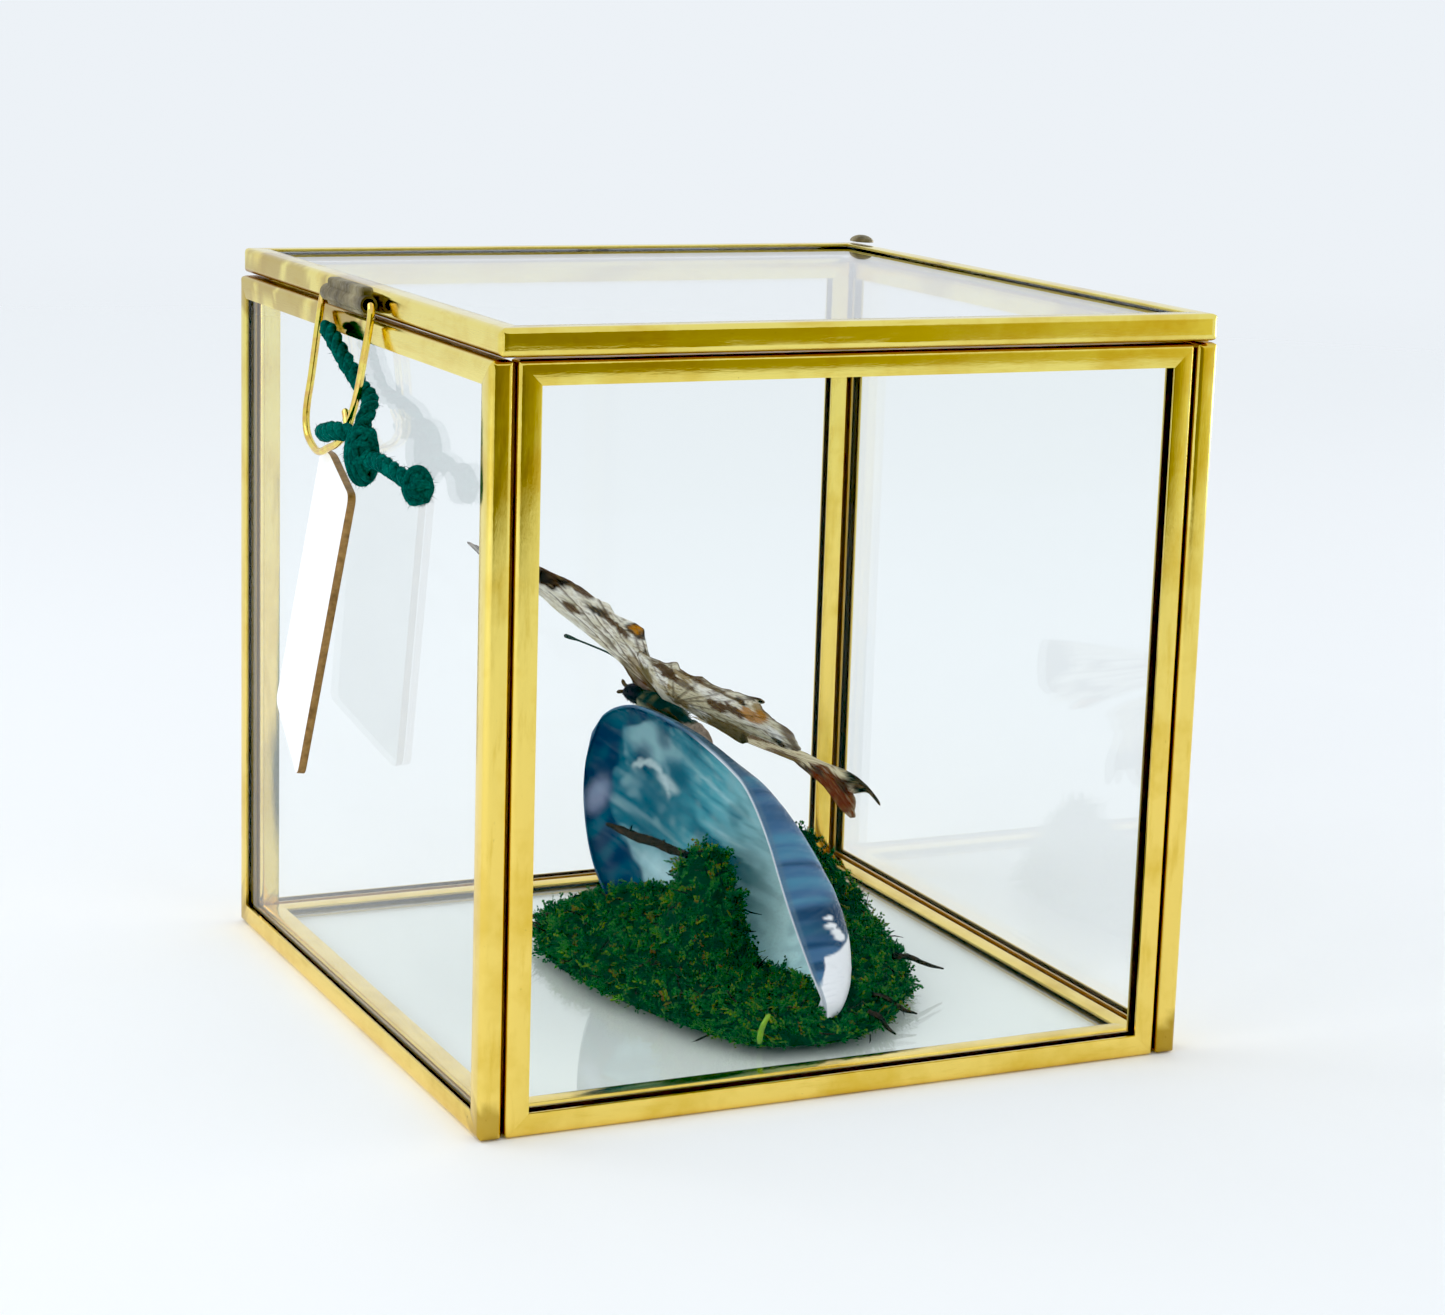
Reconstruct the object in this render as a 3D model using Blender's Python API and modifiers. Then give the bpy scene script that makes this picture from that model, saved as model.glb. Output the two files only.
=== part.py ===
"""A butterfly on an upright mussel valve in moss, inside a brass-edged glass case with a hinged lid.

Metres, +Z up. The case stands on z = 0 with its bottom centre at the origin, the display pane
faces -Y, the lid's hinge runs along the +X wall and the pull loop hangs on the -X side.
"""

import math

import bmesh
import bpy
from mathutils import Matrix, Vector, noise
from mathutils.geometry import interpolate_bezier

# Driving dimensions, metres
CASE_WIDTH = 0.1000          # X, outside of the side walls
CASE_DEPTH = 0.1000          # Y, outside of the display and back walls
WALL_HEIGHT = 0.0958
LID_GAP = 0.0007             # open line between walls and lid
LID_WIDTH = 0.0984           # X, a little inside the walls
LID_DEPTH = 0.1018           # Y, a little over the walls
CAME_THICK = 0.0031          # brass edging, across the pane
CAME_DEPTH = 0.0031          # brass edging, over the pane
CAME_SKIN = 0.0004
CAME_ROUND = 0.0005
MITRE_GAP = 0.00014
PANEL_GAP = 0.0003
GLASS_THICK = 0.0019
GLASS_INSET = 0.0007         # pane edge inside the edging's outer face

HINGE_X = 0.0515
HINGE_Z = 0.09615
HINGE_TUBE_RADIUS = 0.0012
HINGE_BORE_RADIUS = 0.0008
HINGE_PIN_RADIUS = 0.0005

PIVOT_X = -0.0507
PIVOT_Z = 0.0978
LOOP_LEAN = math.atan(0.14)  # the loop leans out from the wall
LOOP_TUBE_RADIUS = 0.00115
LOOP_BORE_RADIUS = 0.00080
LOOP_WIRE_RADIUS = 0.00050

YARN_RADIUS = 0.00075
TAG_THICK = 0.0010
MOSS_FOOT = 0.0028           # just over the floor pane's upper face
TOUCH_GAP = 0.0003

VALVE_TIP = Vector((5.9, -34.7, 5.0)) * 0.001
VALVE_ALONG = Vector((-0.2487, 0.9686, 0.0))     # level, from the beak end to the broad end
VALVE_OPEN = Vector((-0.9686, -0.2487, 0.0))     # the hollow looks this way
VALVE_PITCH = math.radians(25)                   # long axis above level
VALVE_RUN = 61.0                                 # length of the valve, mm
VALVE_WALL = 1.0                                 # mm

BODY_AT = Vector((2.3, 8.0, 37.8)) * 0.001       # between the wing roots
BODY_FORWARD = Vector((-0.4502, 0.8690, 0.2051))
BODY_LEFT = Vector((-0.6060, -0.4660, 0.6450))
DIHEDRAL_LEFT = math.radians(1.7)
DIHEDRAL_RIGHT = math.radians(25.0)
WING_THICK = 0.0003

MM = 0.001

for old in list(bpy.data.objects):
    bpy.data.objects.remove(old, do_unlink=True)

part = bpy.data.collections.new("butterfly_case")
bpy.context.scene.collection.children.link(part)
cutters = bpy.data.collections.new("cutters")
bpy.context.scene.collection.children.link(cutters)


def material(name, colour, metallic=0.0, roughness=0.5, alpha=1.0, transmission=0.0):
    made = bpy.data.materials.new(name)
    made.use_nodes = True
    shader = made.node_tree.nodes["Principled BSDF"]
    shader.inputs["Base Color"].default_value = (colour[0], colour[1], colour[2], 1.0)
    shader.inputs["Metallic"].default_value = metallic
    shader.inputs["Roughness"].default_value = roughness
    shader.inputs["Alpha"].default_value = alpha
    shader.inputs["Transmission Weight"].default_value = transmission
    made.diffuse_color = (colour[0], colour[1], colour[2], alpha)
    return made


BRASS = (0.66, 0.50, 0.13)
SOLDER = (0.30, 0.24, 0.12)
GLASS = (0.86, 0.93, 0.94)
YARN = (0.00, 0.12, 0.10)
MOSS = (0.06, 0.16, 0.02)
TWIG = (0.16, 0.09, 0.04)


def place(thing, name, look, parent=None):
    """Name an object, file it in the part's collection and give it its own material."""
    thing.name = name
    thing.data.name = name
    for coll in list(thing.users_collection):
        coll.objects.unlink(thing)
    part.objects.link(thing)
    thing.data.materials.clear()
    thing.data.materials.append(look)
    if parent is not None:
        thing.parent = parent
        thing.matrix_parent_inverse = Matrix.Translation(-parent.location)
    return thing


def fromMesh(mesh, collection=None):
    thing = bpy.data.objects.new(mesh.name, mesh)
    (collection or part).objects.link(thing)
    return thing


def smooth(thing, degrees=40):
    for face in thing.data.polygons:
        face.use_smooth = True
    for edge in thing.data.edges:
        edge.use_edge_sharp = False
    faces = {}
    for face in thing.data.polygons:
        for key in face.edge_keys:
            faces.setdefault(key, []).append(face)
    limit = math.cos(math.radians(degrees))
    for edge in thing.data.edges:
        pair = faces.get(edge.key, [])
        if len(pair) == 2 and pair[0].normal.dot(pair[1].normal) < limit:
            edge.use_edge_sharp = True
    return thing


def meshOf(thing, weld=0.00001):
    """Turn a curve, or an object with modifiers, into a plain mesh object at the same place."""
    bpy.context.view_layer.update()
    graph = bpy.context.evaluated_depsgraph_get()
    mesh = bpy.data.meshes.new_from_object(thing.evaluated_get(graph), depsgraph=graph)
    world = thing.matrix_world.copy()
    homes = list(thing.users_collection)
    bpy.data.objects.remove(thing, do_unlink=True)
    work = bmesh.new()
    work.from_mesh(mesh)
    bmesh.ops.remove_doubles(work, verts=work.verts[:], dist=weld)
    bmesh.ops.recalc_face_normals(work, faces=work.faces[:])
    work.to_mesh(mesh)
    work.free()
    made = bpy.data.objects.new(mesh.name, mesh)
    homes[0].objects.link(made)
    made.matrix_world = world
    return made


def flatCurve(name, outlines, depth):
    """Fill closed 2D outlines and give them depth along local Z, centred on the outline's plane."""
    data = bpy.data.curves.new(name, "CURVE")
    data.dimensions = "2D"
    data.fill_mode = "BOTH"
    data.extrude = depth / 2
    for outline in outlines:
        spline = data.splines.new("POLY")
        spline.points.add(len(outline) - 1)
        for point, xy in zip(spline.points, outline):
            point.co = (xy[0], xy[1], 0.0, 1.0)
        spline.use_cyclic_u = True
    thing = bpy.data.objects.new(name, data)
    part.objects.link(thing)
    return thing


def wire(name, points, radius, cyclic=False, radii=None, sides=2):
    """A round wire or thread along a path."""
    data = bpy.data.curves.new(name, "CURVE")
    data.dimensions = "3D"
    data.bevel_depth = radius
    data.bevel_resolution = sides
    data.use_fill_caps = True
    spline = data.splines.new("POLY")
    spline.points.add(len(points) - 1)
    for index, at in enumerate(points):
        spline.points[index].co = (at[0], at[1], at[2], 1.0)
        if radii:
            spline.points[index].radius = radii[index]
    spline.use_cyclic_u = cyclic
    thing = bpy.data.objects.new(name, data)
    part.objects.link(thing)
    return meshOf(thing)


def easePath(points, steps):
    """Smooth a path of a few points into short straight pieces."""
    path = [Vector(point) for point in points]
    out = []
    for index in range(len(path) - 1):
        before = path[max(index - 1, 0)]
        after = path[min(index + 2, len(path) - 1)]
        start = path[index]
        end = path[index + 1]
        handleA = start + (end - before) / 6
        handleB = end - (after - start) / 6
        out.extend(interpolate_bezier(start, handleA, handleB, end, steps + 1)[:-1])
    out.append(path[-1])
    return out


def combine(target, tool, operation):
    """Exact Boolean of two mesh objects; the tool is used up."""
    step = target.modifiers.new("combine", "BOOLEAN")
    step.operation = operation
    step.solver = "EXACT"
    step.object = tool
    bpy.context.view_layer.update()
    made = meshOf(target)
    bpy.data.objects.remove(tool, do_unlink=True)
    return made


def box(name, low, high, bevel=0.0, segments=2):
    bpy.ops.mesh.primitive_cube_add(size=1.0)
    thing = bpy.context.object
    thing.name = name
    low = Vector(low)
    high = Vector(high)
    thing.location = (low + high) / 2
    for vert in thing.data.vertices:
        vert.co = Vector((vert.co.x * (high.x - low.x),
                          vert.co.y * (high.y - low.y),
                          vert.co.z * (high.z - low.z)))
    if bevel:
        step = thing.modifiers.new("round", "BEVEL")
        step.width = bevel
        step.segments = segments
        thing = meshOf(thing)
    return thing


def rod(name, start, end, radius, sides=16, tipRadius=None):
    start = Vector(start)
    end = Vector(end)
    bpy.ops.mesh.primitive_cone_add(vertices=sides, radius1=radius,
                                    radius2=radius if tipRadius is None else tipRadius,
                                    depth=(end - start).length)
    thing = bpy.context.object
    thing.name = name
    thing.location = (start + end) / 2
    thing.rotation_euler = (end - start).to_track_quat("Z", "Y").to_euler()
    return thing


def blob(name, centre, radii, segments=16, rings=8):
    bpy.ops.mesh.primitive_uv_sphere_add(segments=segments, ring_count=rings, radius=1.0)
    thing = bpy.context.object
    thing.name = name
    thing.location = centre
    for vert in thing.data.vertices:
        vert.co = Vector((vert.co.x * radii[0], vert.co.y * radii[1], vert.co.z * radii[2]))
    return thing


# Joint axes: the lid turns on the hinge pin, the loop turns in its tube on the lid
lidHinge = bpy.data.objects.new("lid_hinge_axis", None)
lidHinge.location = (HINGE_X, 0.0, HINGE_Z)
part.objects.link(lidHinge)
loopPivot = bpy.data.objects.new("loop_pivot_axis", None)
loopPivot.location = (PIVOT_X, 0.0, PIVOT_Z)
part.objects.link(loopPivot)
bpy.context.view_layer.update()


# Brass edging and panes
def cameProfile():
    """U section of the edging: x across the pane, y from the outer face inwards."""
    half = CAME_THICK / 2
    slot = half - CAME_SKIN
    points = []
    for side, first in ((1, 0.0), (-1, 90.0)):
        for step in range(4):
            turn = math.radians(first + step * 30.0)
            points.append((side * (half - CAME_ROUND) + math.cos(turn) * CAME_ROUND,
                           CAME_ROUND - math.sin(turn) * CAME_ROUND))
    points += [(-half, CAME_DEPTH), (-slot, CAME_DEPTH), (-slot, CAME_SKIN)]
    points += [(slot, CAME_SKIN), (slot, CAME_DEPTH), (half, CAME_DEPTH)]
    return points


def cameStrip(name, at, inward, along, length, look, parent):
    """One mitred strip: `at` is the middle of its outer face, `inward` points over the pane."""
    thing = meshOf(flatCurve(name, [cameProfile()], 1.0))
    for vert in thing.data.vertices:
        end = length / 2 - vert.co.y - MITRE_GAP / 2
        vert.co.z = math.copysign(end, vert.co.z)
    inward = Vector(inward)
    along = Vector(along)
    across = inward.cross(along)
    turn = Matrix((across, inward, along)).transposed().to_4x4()
    thing.matrix_world = Matrix.Translation(Vector(at)) @ turn
    return place(thing, name, look, parent)


def panel(name, centre, wide, tall, width, height, sides, parent=None):
    """A pane with its four strips. sides: names for the -wide, +wide, -tall and +tall strips."""
    centre = Vector(centre)
    wide = Vector(wide)
    tall = Vector(tall)
    runs = ((sides[0], -wide, tall, width, height), (sides[1], wide, tall, width, height),
            (sides[2], -tall, wide, height, width), (sides[3], tall, wide, height, width))
    for side, outward, along, reach, length in runs:
        strip = f"came_{name}_{side}"
        look = material(strip, BRASS, metallic=1.0, roughness=0.22)
        cameStrip(strip, centre + outward * (reach / 2), -outward, along, length, look, parent)
    through = wide.cross(tall)
    half = (wide * (width / 2 - GLASS_INSET) + tall * (height / 2 - GLASS_INSET)
            + through * (GLASS_THICK / 2))
    half = Vector((abs(half.x), abs(half.y), abs(half.z)))
    pane = box(f"glass_{name}", centre - half, centre + half)
    place(pane, f"glass_{name}", material(f"glass_{name}", GLASS, roughness=0.02, alpha=0.35,
                                          transmission=1.0), parent)


halfCame = CAME_THICK / 2
wallMid = WALL_HEIGHT / 2
innerWidth = CASE_WIDTH - 2 * (CAME_THICK + PANEL_GAP)
innerDepth = CASE_DEPTH - 2 * (CAME_THICK + PANEL_GAP)
lidMid = WALL_HEIGHT + LID_GAP + halfCame
X = (1, 0, 0)
Y = (0, 1, 0)
Z = (0, 0, 1)
upDown = ("bottom", "top")

panel("left", (-CASE_WIDTH / 2 + halfCame, 0, wallMid), Y, Z, CASE_DEPTH, WALL_HEIGHT,
      ("front", "back") + upDown)
panel("right", (CASE_WIDTH / 2 - halfCame, 0, wallMid), Y, Z, CASE_DEPTH, WALL_HEIGHT,
      ("front", "back") + upDown)
panel("front", (0, -CASE_DEPTH / 2 + halfCame, wallMid), X, Z, innerWidth, WALL_HEIGHT,
      ("left", "right") + upDown)
panel("back", (0, CASE_DEPTH / 2 - halfCame, wallMid), X, Z, innerWidth, WALL_HEIGHT,
      ("left", "right") + upDown)
panel("floor", (0, 0, halfCame), X, Y, innerWidth, innerDepth,
      ("left", "right", "front", "back"))
panel("lid", (0, 0, lidMid), X, Y, LID_WIDTH, LID_DEPTH,
      ("left", "right", "front", "back"), lidHinge)


# Hinge: two tubes on the right wall, one on the lid, one pin through all three
def knuckle(name, low, high, leafLow, leafHigh, parent=None):
    tube = rod(name, (HINGE_X, low, HINGE_Z), (HINGE_X, high, HINGE_Z), HINGE_TUBE_RADIUS, 20)
    leaf = box("leaf", leafLow, leafHigh)
    tube = combine(tube, leaf, "UNION")
    bore = rod("bore", (HINGE_X, low - 0.01, HINGE_Z), (HINGE_X, high + 0.01, HINGE_Z),
               HINGE_BORE_RADIUS, 16)
    tube = combine(tube, bore, "DIFFERENCE")
    return place(smooth(tube), name, material(name, BRASS, metallic=1.0, roughness=0.3), parent)


wallFace = CASE_WIDTH / 2 + TOUCH_GAP
for name, low, high in (("hinge_tube_front", -0.044, -0.0263), ("hinge_tube_back", 0.0263, 0.044)):
    knuckle(name, low, high, (wallFace, low, HINGE_Z - 0.0028), (wallFace + 0.0003, high, HINGE_Z - 0.0002))
knuckle("hinge_tube_lid", -0.0260, 0.0260, (LID_WIDTH / 2 + TOUCH_GAP, -0.0260, HINGE_Z + 0.00092),
        (HINGE_X, 0.0260, HINGE_Z + 0.00165), lidHinge)
pin = rod("hinge_pin", (HINGE_X, -0.0446, HINGE_Z), (HINGE_X, 0.0446, HINGE_Z), HINGE_PIN_RADIUS, 12)
place(smooth(pin), "hinge_pin", material("hinge_pin", BRASS, metallic=1.0, roughness=0.3))

# Dark lump of solder on the lid's back hinge corner
lidTop = WALL_HEIGHT + LID_GAP + CAME_THICK
lump = blob("hinge_solder", (0.0489, 0.0484, lidTop + 0.0002), (0.0016, 0.0027, 0.0011), 16, 10)
below = box("below", (0.04, 0.04, lidTop - 0.003), (0.06, 0.06, lidTop + TOUCH_GAP))
lump = combine(lump, below, "DIFFERENCE")
place(smooth(lump), "hinge_solder", material("hinge_solder", SOLDER, metallic=0.7, roughness=0.5), lidHinge)

# Tube for the pull loop with its solder pad, on the lid's left edge
tube = rod("loop_tube", (PIVOT_X, -0.0086, PIVOT_Z), (PIVOT_X, 0.0078, PIVOT_Z), LOOP_TUBE_RADIUS, 20)
pad = box("pad", (PIVOT_X - 0.0006, -0.0072, WALL_HEIGHT + 0.0005),
          (-LID_WIDTH / 2 - TOUCH_GAP, 0.0066, lidTop + 0.0003), 0.0004, 2)
tube = combine(tube, pad, "UNION")
bore = rod("bore", (PIVOT_X, -0.03, PIVOT_Z), (PIVOT_X, 0.03, PIVOT_Z), LOOP_BORE_RADIUS, 16)
tube = combine(tube, bore, "DIFFERENCE")
place(smooth(tube), "loop_tube", material("loop_tube", SOLDER, metallic=0.8, roughness=0.45), lidHinge)

# Pull loop: (along the axis, below the axis) in millimetres, in the loop's own leaning plane
loopLine = [(8.2, 0.0), (9.3, 0.3), (9.8, 1.2), (9.9, 3.0), (9.9, 6.0), (9.8, 11.3), (10.0, 14.7),
            (9.6, 17.1), (8.2, 18.9), (5.8, 20.0), (3.4, 20.5), (1.5, 20.3), (-0.8, 19.5),
            (-3.6, 18.6), (-5.7, 17.4), (-7.2, 15.9), (-8.0, 14.2), (-9.0, 10.9), (-9.5, 6.5),
            (-9.9, 3.0), (-9.9, 1.2), (-9.4, 0.3), (-8.6, 0.0), (0.0, 0.0)]
loop = wire("pull_loop", [(0.0, y * MM, -down * MM) for y, down in loopLine], LOOP_WIRE_RADIUS, True)
spur = rod("spur", (0.0, -7.0 * MM, -16.0 * MM), (0.0, -5.2 * MM, -13.9 * MM), LOOP_WIRE_RADIUS, 8)
loop = combine(loop, spur, "UNION")
loop.location = (PIVOT_X, 0.0, PIVOT_Z)
loop.rotation_euler = (0.0, LOOP_LEAN, 0.0)
bpy.context.view_layer.update()
place(smooth(loop), "pull_loop", material("pull_loop", BRASS, metallic=1.0, roughness=0.2), loopPivot)


# Yarn tied to the loop, millimetres
def scaled(points):
    return [Vector(point) * MM for point in points]


strandLine = [(-51.7, 5.6, 93.5), (-51.5, 3.0, 92.2), (-51.1, -0.5, 89.8), (-50.7, -3.2, 88.2),
              (-50.55, -5.8, 86.9), (-50.6, -8.4, 86.2), (-51.2, -11.0, 85.6), (-52.2, -12.6, 84.7)]
strand = wire("yarn_strand", easePath(scaled(strandLine), 3), YARN_RADIUS)
place(smooth(strand), "yarn_strand", material("yarn_strand", YARN, roughness=0.95), loopPivot)

knot = blob("yarn_knot", Vector((-53.5, -14.6, 79.8)) * MM, (2.0 * MM, 2.5 * MM, 4.2 * MM), 16, 12)
wrapLine = [(-54.3, -13.6, 81.6), (-55.3, -11.0, 82.0), (-55.5, -8.0, 81.8), (-55.1, -4.6, 81.2),
            (-54.6, -2.2, 80.9)]
wrap = wire("wrap", easePath(scaled(wrapLine), 3), YARN_RADIUS * 1.15)
knot = combine(knot, wrap, "UNION")
place(smooth(knot), "yarn_knot", material("yarn_knot", YARN, roughness=0.95), loopPivot)

tailLine = [(-53.0, -18.0, 79.4), (-53.2, -21.0, 79.6), (-53.2, -24.0, 79.4), (-52.9, -26.6, 79.0),
            (-52.6, -29.2, 78.6)]
tail = wire("yarn_tail", easePath(scaled(tailLine), 3), YARN_RADIUS)
place(smooth(tail), "yarn_tail", material("yarn_tail", YARN, roughness=0.95), loopPivot)
end = blob("yarn_end_knot", Vector((-52.3, -31.9, 78.3)) * MM, (1.4 * MM, 2.3 * MM, 2.3 * MM), 14, 10)
place(smooth(end), "yarn_end_knot", material("yarn_end_knot", YARN, roughness=0.95), loopPivot)

# Tag: outline in its own plane, millimetres
tagCorners = [(1.2, -0.6), (21.1, 0.4), (18.2, 38.8), (13.0, 40.2), (-2.6, 40.2)]
tagCut = 1.1
tagLine = []
for index, corner in enumerate(tagCorners):
    corner = Vector(corner)
    before = (Vector(tagCorners[index - 1]) - corner).normalized() * tagCut
    after = (Vector(tagCorners[(index + 1) % len(tagCorners)]) - corner).normalized() * tagCut
    for step in range(4):
        share = step / 3
        bend = (1 - share) ** 2 * (corner + before) + 2 * share * (1 - share) * corner
        bend = bend + share ** 2 * (corner + after)
        tagLine.append((bend.x * MM, bend.y * MM))
tagSide = Vector((0.148, 0.957, 0.252)).normalized()
tagUp = Vector((0.062, -0.263, 0.963))
tagUp = (tagUp - tagSide * tagSide.dot(tagUp)).normalized()
tagOut = tagSide.cross(tagUp)
tag = meshOf(flatCurve("tag", [tagLine], TAG_THICK))
tagTurn = Matrix((tagSide, tagUp, tagOut)).transposed().to_4x4()
tagAt = Vector((-57.0, 0.0, 34.5)) * MM + tagOut * (TAG_THICK / 2)
tag.matrix_world = Matrix.Translation(tagAt) @ tagTurn
place(tag, "tag", material("tag", (0.85, 0.85, 0.84), roughness=0.6), loopPivot)


# Mussel valve: bent-plate shape lofted between its two rim lines along the long axis
upperRim = [(0.0, 0.0), (1.2, 1.5), (4.8, 3.5), (9.8, 6.4), (14.5, 9.4), (21.2, 14.2), (26.0, 16.8),
            (30.1, 17.9), (40.4, 16.9), (47.1, 15.1), (53.6, 12.6), (57.3, 10.0), (60.1, 6.2),
            (61.0, 2.6)]
lowerRim = [(0.0, 0.0), (0.8, -1.1), (2.3, -2.1), (7.6, -4.9), (15.8, -8.7), (25.0, -12.6), (34.5, -15.9),
            (41.7, -17.0), (47.7, -16.3), (53.3, -13.3), (58.0, -7.6), (60.3, -2.1), (61.0, 2.6)]
depthLine = [(0.0, 0.0), (0.6, 2.4), (2.0, 4.6), (4.0, 6.9), (7.0, 9.5), (11.0, 12.0), (15.0, 13.4),
             (19.0, 13.2), (25.0, 11.5), (30.0, 9.3), (35.0, 7.4), (45.0, 5.7), (53.0, 4.1), (58.0, 2.6),
             (60.3, 1.4), (61.0, 0.0)]


def along(line, at):
    for index in range(len(line) - 1):
        if at <= line[index + 1][0]:
            share = (at - line[index][0]) / (line[index + 1][0] - line[index][0])
            return line[index][1] + share * (line[index + 1][1] - line[index][1])
    return line[-1][1]


def valveAt(run, side, deep):
    """World point for a place along the valve (mm), a place across it and a depth behind the rim."""
    level = run * math.cos(VALVE_PITCH) - side * math.sin(VALVE_PITCH)
    high = run * math.sin(VALVE_PITCH) + side * math.cos(VALVE_PITCH)
    return VALVE_TIP + VALVE_ALONG * (level * MM) + Vector((0, 0, high * MM)) - VALVE_OPEN * (deep * MM)


def valveGrid(inset, rows, columns):
    """Points (mm) of one skin of the valve, set in from the outer skin by inset."""
    grid = []
    first = max(inset * 2.2, 0.02)
    last = VALVE_RUN - max(inset, 0.02)
    for row in range(rows + 1):
        share = 0.5 - 0.5 * math.cos(math.pi * row / rows)
        share = share * 0.75 + 0.25 * row / rows
        run = first + (last - first) * share
        upper = along(upperRim, run) - inset
        lower = along(lowerRim, run) + inset
        depth = along(depthLine, run) - inset
        middle = (upper + lower) / 2
        half = max(upper - lower, 0.0) / 2
        if row in (0, rows):
            half = 0.0
            depth = 0.0
        line = []
        for column in range(columns + 1):
            turn = math.pi * column / columns
            across = math.cos(turn)
            deep = max(math.sin(turn), 0.0) ** 0.9 * max(depth, 0.0)
            if column in (0, columns):
                deep = 0.0
            line.append((run, middle + half * across, deep))
        grid.append(line)
    return grid


def skinMesh(name, outer, inner):
    """Join an outer and an inner skin along the rim into one closed shell."""
    rows = len(outer) - 1
    columns = len(outer[0]) - 1
    verts = []
    faces = []
    ids = []
    for grid in (outer, inner):
        ids.append([])
        for row, line in enumerate(grid):
            if row in (0, rows):
                verts.append(valveAt(*line[0]))
                ids[-1].append([len(verts) - 1] * (columns + 1))
                continue
            ids[-1].append([])
            for point in line:
                verts.append(valveAt(*point))
                ids[-1][-1].append(len(verts) - 1)
    for layer in (0, 1):
        for row in range(rows):
            for column in range(columns):
                corners = [ids[layer][row][column], ids[layer][row + 1][column],
                           ids[layer][row + 1][column + 1], ids[layer][row][column + 1]]
                corners = list(dict.fromkeys(corners))
                faces.append(corners if layer == 0 else corners[::-1])
    for row in range(rows):
        for column in (0, columns):
            corners = [ids[0][row][column], ids[0][row + 1][column],
                       ids[1][row + 1][column], ids[1][row][column]]
            corners = list(dict.fromkeys(corners))
            faces.append(corners[::-1] if column == 0 else corners)
    mesh = bpy.data.meshes.new(name)
    mesh.from_pydata(verts, [], faces)
    work = bmesh.new()
    work.from_mesh(mesh)
    bmesh.ops.triangulate(work, faces=[face for face in work.faces if len(face.verts) > 4])
    bmesh.ops.recalc_face_normals(work, faces=work.faces[:])
    work.to_mesh(mesh)
    work.free()
    return mesh


valve = fromMesh(skinMesh("mussel_valve", valveGrid(0.0, 22, 14), valveGrid(VALVE_WALL, 22, 14)))
place(smooth(valve, 50), "mussel_valve", material("mussel_valve", (0.05, 0.20, 0.33), roughness=0.25))


# Moss pad: outline on the floor pane and heights, millimetres
mossLine = [(-11.3, 26.8), (-15.0, 19.5), (-17.7, 9.0), (-17.4, 0.5), (-16.2, -7.7), (-13.8, -18.0),
            (-10.3, -27.9), (-6.7, -35.2), (0.5, -37.6), (8.9, -36.9), (16.5, -31.0), (22.0, -24.6),
            (25.4, -18.5), (29.4, -9.3), (31.2, 1.6), (32.1, 8.6), (30.3, 16.7), (26.6, 24.9),
            (19.5, 29.3), (9.0, 30.4), (-1.2, 29.6), (-6.6, 28.6)]
mossLumps = [((-5.0, 12.0), 8.5, 4.6, 2), ((0.5, 2.0), 8.0, 6.4, 2), ((-1.4, -8.6), 5.2, 13.8, 4),
             ((-9.0, -8.0), 8.0, 2.2, 2), ((22.5, 16.5), 6.4, 11.0, 2), ((27.0, 11.0), 5.0, 5.5, 2),
             ((28.5, 4.0), 5.0, 4.0, 2), ((18.0, -8.0), 9.0, 2.4, 2)]
mossCentre = Vector((5.5, -2.0))


def mossHeight(x, y):
    high = 5.8
    for centre, spread, lift, power in mossLumps:
        away = (Vector((x, y)) - Vector(centre)).length / spread
        high += lift * math.exp(-away ** power)
    return high + 0.7 * noise.noise(Vector((x * 0.35, y * 0.35, 3.1)))


def mossMesh():
    outline = easePath([Vector((x, y, 0)) for x, y in mossLine + mossLine[:1]], 2)[:-1]
    count = len(outline)
    rings = [(0.985, None), (1.0, 1.3), (0.955, 0.55), (0.88, 0.85), (0.78, 1.0), (0.68, 1.0), (0.58, 1.0),
             (0.48, 1.0), (0.38, 1.0), (0.28, 1.0), (0.18, 1.0), (0.09, 1.0)]
    verts = []
    faces = []
    for share, lift in rings:
        for index, point in enumerate(outline):
            spot = mossCentre + (Vector((point.x, point.y)) - mossCentre) * share
            if lift is None:
                high = MOSS_FOOT / MM
            elif share == 1.0:
                high = MOSS_FOOT / MM + 0.9 + 0.4 * noise.noise(Vector((index * 0.9, 0.4, 0.2)))
            else:
                foot = MOSS_FOOT / MM
                high = foot + (mossHeight(spot.x, spot.y) - foot) * lift
            verts.append(Vector((spot.x, spot.y, high)) * MM)
    top = len(verts)
    verts.append(Vector((mossCentre.x, mossCentre.y, mossHeight(*mossCentre))) * MM)
    for ring in range(len(rings) - 1):
        for index in range(count):
            after = (index + 1) % count
            faces.append([ring * count + index, ring * count + after,
                          (ring + 1) * count + after, (ring + 1) * count + index])
    last = (len(rings) - 1) * count
    for index in range(count):
        faces.append([last + index, last + (index + 1) % count, top])
    faces.append(list(range(count))[::-1])
    mesh = bpy.data.meshes.new("moss_pad")
    mesh.from_pydata(verts, [], faces)
    work = bmesh.new()
    work.from_mesh(mesh)
    bmesh.ops.triangulate(work, faces=work.faces[:])
    bmesh.ops.recalc_face_normals(work, faces=work.faces[:])
    work.to_mesh(mesh)
    work.free()
    return mesh


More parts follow.
